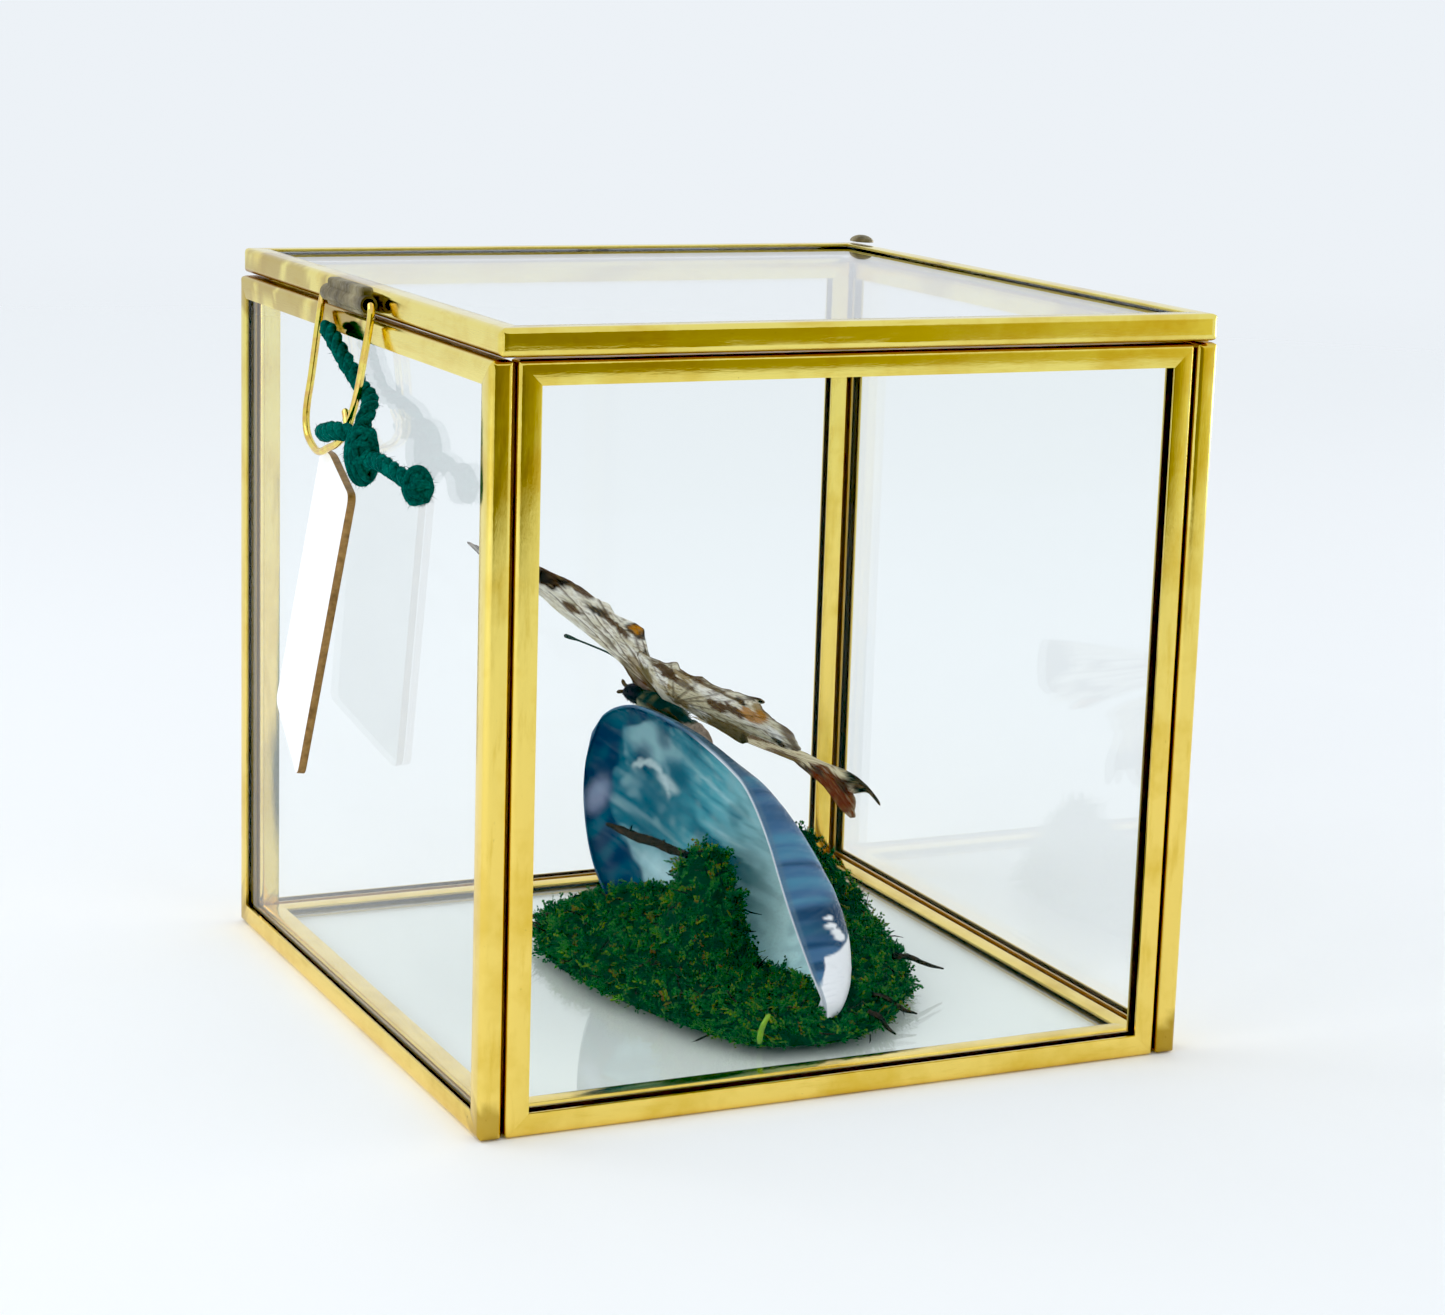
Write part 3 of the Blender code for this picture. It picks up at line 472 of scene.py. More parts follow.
def lump(centre, size, wraps, seed):
    # a knot: an uneven ball with turns of yarn wound over it
    centre = Vector(centre) * mm
    size = Vector(size) * mm
    rings, segments, steps = 14, 20, 28
    verts = []
    for ring in range(rings + 1):
        polar = math.pi * ring / rings
        for segment in range(segments):
            angle = 2 * math.pi * segment / segments
            flat = math.sin(polar)
            way = Vector((flat * math.cos(angle), flat * math.sin(angle), math.cos(polar)))
            swell = 0.82 + 0.12 * noise.noise(way * 1.7 + Vector((seed, 0, 0)))
            verts.append(centre + way * size * swell)
    parts = [(verts, ringFaces(rings + 1, segments, capped=False))]
    rng = random.Random(seed)
    for wrapIndex in range(wraps):
        axis = Vector((rng.uniform(-0.6, 0.6), rng.uniform(-0.9, 0.9), rng.uniform(-0.5, 1))).normalized()
        side = axis.orthogonal().normalized()
        across = axis.cross(side)
        shift = rng.uniform(-0.5, 0.5)
        line = []
        for step in range(steps):
            angle = 2 * math.pi * step / steps
            ring = side * math.cos(angle) + across * math.sin(angle)
            way = axis * shift + ring * math.sqrt(1 - shift ** 2)
            line.append(centre + way * size * 0.84)
        parts.append(tube(line, yarn["wound"] * mm, 7, closed=True))
    return parts


def fuzz(verts, count, seed, reach):
    # loose fibres: thin bent threads that start on the given points
    rng = random.Random(seed)
    parts = []
    for index in range(count):
        start = rng.choice(verts)
        way = gaussWay(rng).normalized()
        bend = (gaussWay(rng) - Vector((0, 0, 0.3))).normalized()
        length = reach * mm * rng.uniform(0.35, 1.0)
        end = start + way * length
        line = [start, start + way * length * 0.5 + bend * length * 0.15, end + bend * length * 0.5]
        parts.append(tube(line, [radius * mm for radius in yarn["fibre"]], 3))
    return parts


def yarnPiece(name, parts, look, replaced=()):
    verts, faces = joined(parts)
    return makePiece(name, verts, faces, look, "pull_loop", "yarn", replaced, 180), verts


def makeYarn():
    look = yarnLook()
    strands, path = plied(yarn["route"], yarn["drawn"], yarn["turnsPerMm"])
    wrap, wrapPath = plied(yarn["wrap"], yarn["drawn"] * 1.08, 0.2)
    knotParts = lump(yarn["knotAt"], yarn["knotSize"], yarn["knotWraps"], 4) + wrap
    endParts = lump(yarn["endAt"], yarn["endSize"], yarn["endWraps"], 9)
    rope, verts = yarnPiece("yarn_strands", strands, look, ["yarn_strand", "yarn_tail"])
    knot, knotVerts = yarnPiece("yarn_main_knot", knotParts, look, ["yarn_knot"])
    end, endVerts = yarnPiece("yarn_tail_knot", endParts, look, ["yarn_end_knot"])
    count = yarn["fuzz"]
    hairs = fuzz(verts, int(count * 0.4), 1, 0.6) + fuzz(knotVerts, int(count * 0.35), 2, 0.6)
    hair, hairVerts = yarnPiece("yarn_fuzz", hairs + fuzz(endVerts, int(count * 0.25), 3, 0.75), look)


makeYarn()


brass = {
    "bright": (0.90, 0.755, 0.20), "warm": (0.94, 0.70, 0.17), "deep": (0.70, 0.44, 0.025),
    # the last two tints are painted shade: in the narrow gaps between strips of different panels and under
    # the lid, and in the hollow of the U
    "stain": (0.16, 0.075, 0.008), "grooveShade": (0.38, 0.19, 0.018), "inside": (0.085, 0.028, 0.022),
    "roughness": (0.07, 0.22),                                  # polished, smeared
    "round": 0.90, "skin": 0.4, "lip": 0.16, "gap": 0.14,      # mm
    "wobble": 0.03, "stations": 84,
    # wire: a darker brass for the wire and hinge, painted shade that stands in for the dim room they reflect
    "patina": (0.41, 0.25, 0.035), "wire": (0.80, 0.53, 0.17),
    # where the solder's heat has browned the brass: centre and reach in mm, how strong
    "patches": [((-50.5, 5.0, 96.5), 8.5, 0.85), ((-51.0, 14.0, 94.5), 5.0, 0.6),
                ((-51.0, 38.0, 99.0), 6.5, 0.7), ((-51.0, 27.0, 94.0), 7.0, 0.6),
                ((-50.0, 47.0, 95.0), 5.0, 0.6), ((-50.5, -50.5, 1.0), 4.0, 0.7),
                ((50.5, -50.5, 2.0), 4.0, 0.85), ((50.5, 50.5, 98.0), 6.0, 0.8),
                ((51.0, 20.0, 95.0), 7.0, 0.6), ((51.0, -20.0, 95.0), 6.0, 0.6),
                ((-50.5, 50.5, 2.0), 4.0, 0.7)],
    "lidSill": 0.4,                                             # mm that the lid's strips reach down
    "warmBelow": 0.035, "brightAbove": 0.085,                   # metres up
}


def patina(spot):
    # 0 to 1, where a patch has browned the brass
    most = 0.0
    for centre, reach, strength in brass["patches"]:
        away = (spot / mm - Vector(centre)).length / reach
        if away < 1.6:
            away += 0.40 * noise.noise(spot * 260) + 0.22 * noise.noise(spot * 700)
            most = max(most, (1 - ease(0.80, 1.02, away)) * strength)
    return most


def brassLook(name="brass_edging", worn=0.0, strips=True):
    look = Look(name)
    along = look.attribute("stripPlace", "Vector") if strips else look.place(1000)
    cloud = look.noise(0.10, 4.0, 0.6, along)                   # soft blotches along a strip
    smear = look.noise(0.55, 5.0, 0.65, look.stretched(along, 0.22, 1.4, 1.0))
    specks = look.noise(1.9, 5.0, 0.6, along)
    # paler brass higher up the case, warmer and more orange low down; on the wire and hinge, paler in random
    # patches
    if strips:
        height = look.node("SeparateXYZ", {0: look.place()}, "Z")
        paleShare = look.range(height, brass["warmBelow"], brass["brightAbove"])
    else:
        paleShare = look.range(look.noise(0.8, 3.0, 0.5, along), 0.4, 0.6)
    tint = look.blend(paleShare, brass["warm" if strips else "wire"], brass["bright"])
    tint = look.blend(look.range(cloud, 0.46 - worn, 0.70, 0.0, 0.60), tint, brass["deep"])
    tint = look.blend(look.range(smear, 0.54 - worn, 0.78, 0.0, 0.45), tint, brass["deep"])
    tint = look.blend(look.attribute("patina"), tint, brass["patina"])
    spots = look.range(specks, 0.70 - worn, 0.77, 0.0, 0.8)
    # painted shade: darker brass in the narrow gaps beside other panels' strips and under the lid
    grooveShade = look.attribute("grooveShade")
    # painted shade deep in the hollow of the U, darker and less metallic
    inside = look.attribute("inside")
    for share, colour in ((spots, "stain"), (grooveShade, "grooveShade"), (inside, "inside")):
        tint = look.blend(share, tint, brass[colour])
    polish = look.range(smear, 0.35, 0.75, *brass["roughness"])
    # rougher on the real stains and in the painted shade of the gaps
    stainAndShadeRoughness = look.maths("MULTIPLY", look.maths("ADD", spots, grooveShade), 0.2)
    look.set(Base_Color=tint, Roughness=look.maths("ADD", polish, stainAndShadeRoughness),
             Metallic=look.range(inside, 0.0, 1.0, 1.0, 0.3), Normal=look.bump(smear, 0.00005, 0.5))
    return look.material


def axisBy(pick, low, high):
    # the axis along which a box is longest or thinnest
    size = high - low
    return pick(range(3), key=lambda axis: size[axis])


def unit(axis, sign=1.0):
    way = Vector((0, 0, 0))
    way[axis] = sign
    return way


def edgingProfile(half, depth):
    # U section, x across the pane and y from the outer face inwards, with soft corners and lips;
    # the third number is how much painted shade the spot takes, deep in the U
    bend, skin, lip = brass["round"], brass["skin"], brass["lip"]
    turns = [math.radians(step * 10) for step in range(10)]
    arc = [(bend - bend * math.cos(turn), bend - bend * math.sin(turn)) for turn in turns]
    points = [(half - lip * 0.3, depth, 0.0), (half, depth - lip, 0.0)]
    points += [(half - inset, deep, 0.0) for inset, deep in arc]
    points += [(inset - half, deep, 0.0) for inset, deep in reversed(arc)]
    inner = half - skin
    points += [(-half, depth - lip, 0.0), (-half + lip * 0.3, depth, 0.0), (-inner, depth, 0.7)]
    hollow = [(inner, depth - 0.1, 1.0), (inner, skin + 0.3, 1.0), (inner - 0.3, skin, 1.0)]
    points += [(-x, y, dark) for x, y, dark in hollow] + hollow[::-1]
    return points + [(inner, depth, 0.7)]


def boxGap(first, second):
    gaps = [max(first[0][axis] - second[1][axis], second[0][axis] - first[1][axis], 0.0) for axis in range(3)]
    return Vector(gaps).length / mm


def closeStrips(name, boxes):
    # strips of other panels that run close beside this one
    panel = name.split("_")[1]
    out = []
    for other, box in boxes.items():
        if other.split("_")[1] == panel:
            continue
        gap = boxGap(boxes[name], box)
        if 0.1 < gap < 0.9:
            out.append((box, gap))
    return out


def edgingStrip(name, node, paneNode, boxes, look, body):
    low, high = boxes[node]
    if body == "lid":
        low = low - Vector((0, 0, brass["lidSill"] * mm))
    paneLow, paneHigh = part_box(paneNode)
    across = axisBy(min, paneLow, paneHigh)
    along = axisBy(max, low, high)
    inward = 3 - across - along
    middle = (low + high) / 2
    sign = 1.0 if (paneLow[inward] + paneHigh[inward]) / 2 > middle[inward] else -1.0
    half = (high - low)[across] / 2 / mm
    depth = (high - low)[inward] / mm
    length = (high - low)[along] / mm + brass["gap"]
    origin = middle - unit(inward, sign) * (depth / 2 * mm)
    profile = edgingProfile(half, depth)
    bend = brass["round"]
    corner = bend * (1 - math.sqrt(0.5))
    # rows of points stand closer together at the mitred ends
    ends = [0.0, 0.0012, 0.003, 0.0055, 0.009, 0.02]
    inner = [0.02 + 0.96 * step / brass["stations"] for step in range(1, brass["stations"])]
    shares = ends + inner + [1 - share for share in reversed(ends)]
    verts = []
    marks = {"stripPlace": [], "grooveShade": [], "inside": [], "patina": []}
    seed = middle * 90
    neighbours = closeStrips(node, boxes)
    for share in shares:
        arc = 0.0
        for index, (x, y, inside) in enumerate(profile):
            if index:
                arc += math.dist(profile[index][:2], profile[index - 1][:2])
            top = max(y, corner)
            run = mix(-length / 2 + top, length / 2 - top, share)
            fromEnd = length / 2 - abs(run)
            deep = y
            if fromEnd < bend:
                deep = max(y, bend - math.sqrt(max(bend ** 2 - (bend - fromEnd) ** 2, 0.0)))
            sway = noise.noise(seed + Vector((run * 0.11, x * 0.6, y * 0.4)))
            deep = max(deep + sway * brass["wobble"] * (1.0 if abs(x) < half - 0.4 else 0.3), 0.0)
            if y > depth - 0.3:
                deep = min(deep, depth)
            spot = origin + (unit(across) * x + unit(inward, sign) * deep + unit(along) * run) * mm
            # painted shade where this strip runs close beside a strip of another panel, as under the lid
            dark = [1 - ease(gap + 0.04, gap + 0.30, boxGap((spot, spot), box)) for box, gap in neighbours]
            verts.append(spot)
            marks["stripPlace"].append((run, arc, seed.x + seed.y * 3 + seed.z * 7))
            marks["grooveShade"].append(max(dark, default=0.0))
            marks["inside"].append(inside)
            marks["patina"].append(patina(spot))
    faces = ringFaces(len(shares), len(profile))
    makePiece(name, verts, faces, look, body, "brass", [node], 35, marks)


def makeEdging():
    look = brassLook()
    boxes = {node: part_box(node) for node in sorted(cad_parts) if node.startswith("came_")}
    for node in boxes:
        panel = node.split("_")[1]
        body = "lid" if panel == "lid" else "case"
        edgingStrip(node.replace("came", "edging"), node, "glass_" + panel, boxes, look, body)
    metal = brassLook("brass_hinge", 0.05, False)
    for node in ("hinge_tube_front", "hinge_tube_back", "hinge_tube_lid", "hinge_pin"):
        coat(node, metal)
    print("edging made")


makeEdging()


pane = {"tint": (0.982, 0.994, 0.990), "floorTint": (0.975, 0.997, 0.968), "ior": 1.48,
        "gleam": (0.19, 0.21, 0.21)}


def glassLook(name, tint):
    look = Look(name, Base_Color=tint, Transmission_Weight=1.0, IOR=pane["ior"], Specular_Tint=pane["gleam"])
    smear = look.noise(45.0, 5.0, 0.7)
    look.set(Roughness=look.range(smear, 0.55, 0.80, 0.0, 0.035))
    return look.material


def makeGlass():
    clear = glassLook("window_glass", pane["tint"])
    greener = glassLook("floor_glass", pane["floorTint"])
    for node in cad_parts:
        if node.startswith("glass_"):
            coat(node, greener if node == "glass_floor" else clear)
    print("glass made")


makeGlass()


loop = {
    "pivot": (-50.7, 0.0, 97.8), "lean": math.atan(0.14), "wire": 0.50,
    # along the axis, below the axis, in the loop's own leaning plane
    "line": [(8.2, 0.0), (9.3, 0.3), (9.8, 1.2), (9.9, 3.0), (9.9, 6.0), (9.8, 11.3), (10.0, 14.7),
             (9.6, 17.1), (8.2, 18.9), (5.8, 20.0), (3.4, 20.5), (1.5, 20.3), (-0.8, 19.5),
             (-3.6, 18.6), (-5.7, 17.4), (-7.2, 15.9), (-8.0, 14.2), (-9.0, 10.9), (-9.5, 6.5),
             (-9.9, 3.0), (-9.9, 1.2), (-9.4, 0.3), (-8.6, 0.0), (-4.0, 0.0), (0.0, 0.0), (4.0, 0.0)],
    "spur": [(-7.2, 16.2), (-6.3, 15.1), (-5.2, 13.9)],
    "solder": [(0.30, (0.10, 0.07, 0.03)), (0.55, (0.27, 0.22, 0.12)), (0.75, (0.46, 0.40, 0.24))],
}


def loopPoint(y, down):
    lean = loop["lean"]
    return (Vector(loop["pivot"]) + Vector((-down * math.sin(lean), y, -down * math.cos(lean)))) * mm


def makeLoop():
    wire = loop["wire"] * mm
    ring = [loopPoint(*point) for point in loop["line"]]
    path = easePath(ring + ring[:1], 4)[:-1]
    spur = easePath([loopPoint(*point) for point in loop["spur"]], 4)
    verts, faces = joined([tube(path, wire, 14, closed=True),
                           tube(spur, [wire] * (len(spur) - 1) + [wire * 0.7], 12)])
    look = brassLook("brass_wire", 0.02, False)
    makePiece("wire_loop", verts, faces, look, "pull_loop", "brass", ["pull_loop"], 60)
    dull = Look("dull_solder", Metallic=0.75)
    grain = dull.noise(900.0, 5.0, 0.6)
    dull.set(Base_Color=dull.ramp(dull.noise(260.0, 3.0), loop["solder"]),
             Roughness=dull.range(grain, 0.3, 0.7, 0.32, 0.62), Normal=dull.bump(grain, 0.0002, 0.8))
    for node in ("loop_tube", "hinge_solder"):
        coat(node, dull.material)
    print("loop made")


makeLoop()


valve = {
    "tip": (5.9, -34.7, 5.0), "along": (-0.2487, 0.9686, 0.0), "opening": (-0.9686, -0.2487, 0.0),
    "pitch": 25.0, "run": 61.0, "wall": 1.0, "rows": 210, "columns": 100, "swing": (-1.0, 0.45, 0.0),
    "upper": [(0.0, 0.0), (1.2, 1.5), (4.8, 3.5), (9.8, 6.4), (14.5, 9.4), (21.2, 14.2), (26.0, 16.8),
              (30.1, 17.9), (40.4, 16.9), (47.1, 15.1), (53.6, 12.6), (57.3, 10.0), (60.1, 6.2),
              (61.0, 2.6)],
    "lower": [(0.0, 0.0), (0.8, -1.1), (2.3, -2.1), (7.6, -4.9), (15.8, -8.7), (25.0, -12.6),
              (34.5, -15.9), (41.7, -17.0), (47.7, -16.3), (53.3, -13.3), (58.0, -7.6), (60.3, -2.1),
              (61.0, 2.6)],
    "depth": [(0.0, 0.0), (0.6, 2.4), (2.0, 4.6), (4.0, 6.9), (7.0, 9.5), (11.0, 12.0), (15.0, 13.4),
              (19.0, 13.2), (25.0, 11.5), (30.0, 9.3), (35.0, 7.4), (45.0, 5.7), (53.0, 4.1), (58.0, 2.6),
              (60.3, 1.4), (61.0, 0.0)],
}


def smoothAlong(line, at):
    # a smooth curve through the rim's points
    if at <= line[0][0]:
        return line[0][1]
    last = len(line) - 2
    for index in range(last + 1):
        x0, y0 = line[index]
        x1, y1 = line[index + 1]
        if at > x1:
            continue
        gap = x1 - x0
        share = (at - x0) / gap
        if index in (0, last):
            return mix(y0, y1, share)
        before, after = line[index - 1], line[index + 2]
        slopeA = (y1 - before[1]) / (x1 - before[0]) * gap
        slopeB = (after[1] - y0) / (after[0] - x0) * gap
        turn = share ** 3 * 2 - share ** 2 * 3
        return ((turn + 1) * y0 + (share ** 3 - share ** 2 * 2 + share) * slopeA
                - turn * y1 + (share ** 3 - share ** 2) * slopeB)
    return line[-1][1]


def valvePoint(run, side, deep):
    pitch = math.radians(valve["pitch"])
    level = run * math.cos(pitch) - side * math.sin(pitch)
    high = run * math.sin(pitch) + side * math.cos(pitch)
    swing = Vector(valve["swing"]) * (1 - ease(24, 58, run) * 0.8)
    return (Vector(valve["tip"]) + Vector(valve["along"]) * level + Vector((0, 0, high))
            - Vector(valve["opening"]) * deep + swing) * mm


def valveSkin(inset):
    rows, columns = valve["rows"], valve["columns"]
    first = max(inset * 2.2, 0.02)
    last = valve["run"] - max(inset * 0.6, 0.02)
    grid = []
    for row in range(rows + 1):
        share = 0.5 - 0.5 * math.cos(math.pi * row / rows)
        run = first + (last - first) * (share * 0.6 + 0.4 * row / rows)
        upper = smoothAlong(valve["upper"], run) - inset * 0.55
        lower = smoothAlong(valve["lower"], run) + inset * 0.55
        tip = row in (0, rows)
        depth = 0.0 if tip else max(smoothAlong(valve["depth"], run) - inset, 0.0)
        half = 0.0 if tip else max(upper - lower, 0.0) / 2
        line = []
        for column in range(columns + 1):
            turn = math.pi * column / columns
            deep = 0.0 if column in (0, columns) else math.sin(turn) ** 0.9 * depth
            side = (upper + lower) / 2 + half * math.cos(turn)
            if inset == 0.0:
                # growth steps outside
                ring = 0.13 * ripple(run * 0.55 + abs(side) * 0.05, side * 0.04, 7.0)
                ring += 0.06 * ripple(run * 1.6 + abs(side) * 0.1, side * 0.06, 2.0)
                deep += ring * math.sin(turn) * ease(0, 5, run)
            else:
                # the muscle scars and soft waves inside
                scar = math.exp(-((run - 50.4) / 3.2) ** 2 - ((side - 0.3) / 2.8) ** 2)
                scar += 0.6 * math.exp(-((run - 52.0) / 2.4) ** 2 - ((side - 6.4) / 2.6) ** 2)
                deep += (0.28 * scar + 0.12 * ripple(run * 0.10, side * 0.22, 1.0)) * math.sin(turn)
            line.append((run, side, deep, math.cos(turn)))
        grid.append(line)
    return grid


shellTints = {
    "pearl": (0.66, 0.92, 0.95), "aqua": (0.09, 0.38, 0.48), "teal": (0.0, 0.085, 0.150),
    "navy": (0.0, 0.020, 0.075), "lilac": (0.42, 0.46, 0.66), "grey": (0.26, 0.46, 0.52),
    "scar": (0.46, 0.60, 0.64), "rim": (0.80, 0.83, 0.90), "sheen": (0.60, 0.78, 0.86),
    "dust": (0.0, 0.04, 0.11),
    "skin": (0.065, 0.145, 0.29), "skinPale": (0.11, 0.18, 0.27), "skinArc": (0.09, 0.28, 0.42),
    "skinDark": (0.0, 0.022, 0.085), "worn": (0.92, 0.93, 0.97), "mossy": (0.33, 0.47, 0.40),
    # the muscles' scars: colour, centre (run, side), reach, softness, how strong
    "scars": [("grey", (51.6, 7.2), (4.4, 3.2), 0.5, 0.85), ("navy", (52.4, 3.8), (1.6, 2.4), 0.7, 0.75),
              ("navy", (49.6, 9.6), (1.4, 2.0), 0.7, 0.65), ("teal", (49.6, 0.2), (3.4, 2.6), 0.6, 0.6)],
    "overScars": [("teal", (46.0, 6.0), (2.6, 1.6), 0.6, 0.9), ("scar", (47.2, 3.2), (2.2, 0.9), 0.5, 0.75),
                  ("pearl", (41.0, -9.4), (6.4, 2.6), 0.9, 0.6)],
    "dots": [("worn", (11.7, 6.6), (0.34, 0.34), 0.3, 1.0), ("worn", (10.8, 6.0), (0.42, 0.42), 0.3, 1.0),
             ("worn", (10.2, 5.3), (0.46, 0.46), 0.3, 1.0), ("worn", (9.7, 4.7), (0.60, 0.60), 0.3, 1.0)],
    # the line that the mantle leaves inside: run and side, seen from a centre
    "centre": (38.0, 0.0),
    "mantle": [(30.0, 14.6), (36.0, 14.8), (41.4, 14.6), (47.7, 13.0), (53.0, 10.4), (56.5, 6.4),
               (55.9, 0.9), (55.9, -3.2), (54.7, -5.7), (49.3, -9.8), (43.4, -11.8), (36.0, -12.4),
               (30.0, -12.2)],
}


def tinted(base, other, share):
    return tuple(mix(first, second, share) for first, second in zip(base, other))


def blob(run, side, centre, reach, soft):
    # 1 inside an oval, 0 outside, with a slightly ragged edge
    away = math.hypot((run - centre[0]) / reach[0], (side - centre[1]) / reach[1])
    away += 0.16 * ripple(run * 0.9, side * 0.9, centre[0])
    return 1 - ease(1 - soft, 1 + soft, away)


def blobbed(run, side, tint, blobs):
    for name, centre, reach, soft, strength in blobs:
        tint = tinted(tint, shellTints[name], blob(run, side, centre, reach, soft) * strength)
    return tint


def pastMantle(run, side):
    # how far outside the mantle's line, in mm
    x, y = shellTints["centre"]
    here = math.atan2(side - y, run - x)
    spots = sorted((math.atan2(high - y, along - x), math.hypot(along - x, high - y))
                   for along, high in shellTints["mantle"])
    for (fromTurn, fromAway), (toTurn, toAway) in zip(spots, spots[1:]):
        if fromTurn <= here <= toTurn:
            share = (here - fromTurn) / (toTurn - fromTurn)
            return math.hypot(side - y, run - x) - mix(fromAway, toAway, share)
    return -5.0


def innerTint(run, side, turn):
    t = shellTints
    drift = run + 2.5 * ripple(run * 0.12, side * 0.12, 1.0)
    tint = tinted(t["pearl"], t["aqua"], ease(20, 40, drift))
    tint = tinted(tint, t["teal"], ease(36, 49, drift) * 0.85)
    streak = ripple(run * 0.045, side * 0.38, 4.0) + 0.5 * ripple(run * 0.10, side * 1.1, 9.0)
    tint = tinted(tint, t["teal"], ease(0.0, 0.5, streak) * 0.85 * ease(20, 36, run))
    tint = tinted(tint, t["pearl"], ease(0.10, 0.80, -streak) * (0.50 - 0.25 * ease(38, 48, run)))
    cloud = ripple(run * 0.22, side * 0.30, 14.0) + 0.5 * ripple(run * 0.6, side * 0.7, 4.0)
    tint = tinted(tint, t["grey"], ease(0.05, 0.6, cloud) * 0.55)
    tint = tinted(tint, t["teal"], ease(0.10, 0.6, -cloud) * 0.45 * ease(20, 34, run))
    tint = blobbed(run, side, tint, t["scars"])
    ring = math.hypot((run - 50.0) / 3.6, (side - 0.8) / 3.2) + 0.18 * ripple(run, side, 2.0)
    tint = tinted(tint, t["scar"], (1 - ease(0.03, 0.22, abs(ring - 1.0))) * ease(0.4, 2.2, side) * 0.85)
    tint = blobbed(run, side, tint, t["overScars"])
    band = ease(-0.4, 0.4, pastMantle(run, side) + 0.9 * ripple(run * 0.4, side * 0.4, 3.0))
    edge = tinted(t["navy"], t["teal"], ease(-0.2, 0.5, ripple(run * 0.5, side * 0.2, 8.0)) * 0.9)
    tint = tinted(tint, edge, band * ease(34, 42, run) * 0.97)
    tint = tinted(tint, t["lilac"], blob(run, side, (57.0, -5.9), (1.4, 2.7), 0.7) * 0.5)
    return tinted(tint, t["rim"], ease(0.990, 0.998, turn) * (1 - ease(34, 44, run)))


def outerTint(run, side, turn):
    t = shellTints
    tint = tinted(t["skin"], t["skinPale"], ease(25, 34, run) * 0.75)
    arc = ripple(run * 0.42 + abs(side - 4) * 0.09, 0.0, 5.0)
    arc += 0.6 * ripple(run * 1.1 + abs(side - 4) * 0.2, side * 0.05, 1.0)
    tint = tinted(tint, t["skinArc"], ease(0.05, 0.5, arc) * 0.75)
    tint = tinted(tint, t["skinDark"], ease(0.08, 0.55, -arc) * 0.75 * (1 - ease(30, 38, run) * 0.7))
    tint = tinted(tint, t["skinDark"], blob(run, side, (12.6, 4.9), (3.4, 2.6), 0.6) * 0.95)
    tint = tinted(tint, t["skinDark"], (1 - ease(-0.75, -0.45, turn)) * 0.6)
    # the worn end, up to a height over the tip
    pitch = math.radians(valve["pitch"])
    over = run * math.sin(pitch) + side * math.cos(pitch)
    edge = mix(7.9, 7.1, ease(0.3, 0.95, turn))
    edge = mix(edge, 4.2, ease(0.955, 0.999, turn)) + 0.9 * ripple(run * 0.6, side * 0.6, 6.0)
    worn = (1 - ease(-0.25, 0.25, over - edge)) * (1 - ease(14, 18, run)) * ease(-0.72, -0.45, turn)
    tint = blobbed(run, side, tinted(tint, t["worn"], worn), t["dots"])
    tint = tinted(tint, t["mossy"], (1 - ease(-0.93, -0.80, turn)) * (1 - ease(26, 32, run)) * 0.8)
    return tinted(tint, t["skinPale"], ease(0.9980, 0.9996, turn) * (1 - ease(38, 46, run)) * 0.6)


def shellLook():
    look = Look("mussel_shell", Specular_IOR_Level=0.10)
    place = look.attribute("shellPlace", "Vector")
    streak = look.noise(1.4, 5.0, 0.65, look.stretched(place, 0.14, 1.0, 3.0))
    grain = look.noise(2.6, 4.0, 0.6, place)
    tint = look.blend(look.range(streak, 0.45, 0.75, 0.0, 0.05), look.attribute("shellTint", "Color"),
                      shellTints["sheen"])
    tint = look.blend(look.range(grain, 0.48, 0.76, 0.0, 0.15), tint, shellTints["dust"])
    look.set(Base_Color=tint, Roughness=look.range(grain, 0.3, 0.7, 0.16, 0.34),
             Normal=look.bump(streak, 0.00005, 0.7))
    return look.material


def makeValve():
    rows, columns = valve["rows"], valve["columns"]
    verts, faces, ids = [], [], []
    marks = {"shellPlace": [], "shellTint": []}
    for layer, inset in enumerate((0.0, valve["wall"])):
        ids.append([])
        for row, line in enumerate(valveSkin(inset)):
            single = row in (0, rows)
            start = len(verts)
            for run, side, deep, turn in line[:1] if single else line:
                verts.append(valvePoint(run, side, deep))
                marks["shellPlace"].append((run, side, float(layer)))
                marks["shellTint"].append((innerTint if layer else outerTint)(run, side, turn))
            ids[-1].append([start] * (columns + 1) if single else list(range(start, len(verts))))
    outer, inner = ids
    quads = []
    for row in range(rows):
        for grid in ids:
            for column in range(columns):
                quads.append([grid[row][column], grid[row + 1][column],
                              grid[row + 1][column + 1], grid[row][column + 1]])
        for column in (0, columns):
            quads.append([outer[row][column], outer[row + 1][column],
                          inner[row + 1][column], inner[row][column]])
    for quad in quads:
        corners = list(dict.fromkeys(quad))
        if len(corners) > 2:
            faces.append(corners)
    makePiece("mussel_shell", verts, faces, shellLook(), "case", "shell", ["mussel_valve"], 60, marks)
    print("valve made")


makeValve()


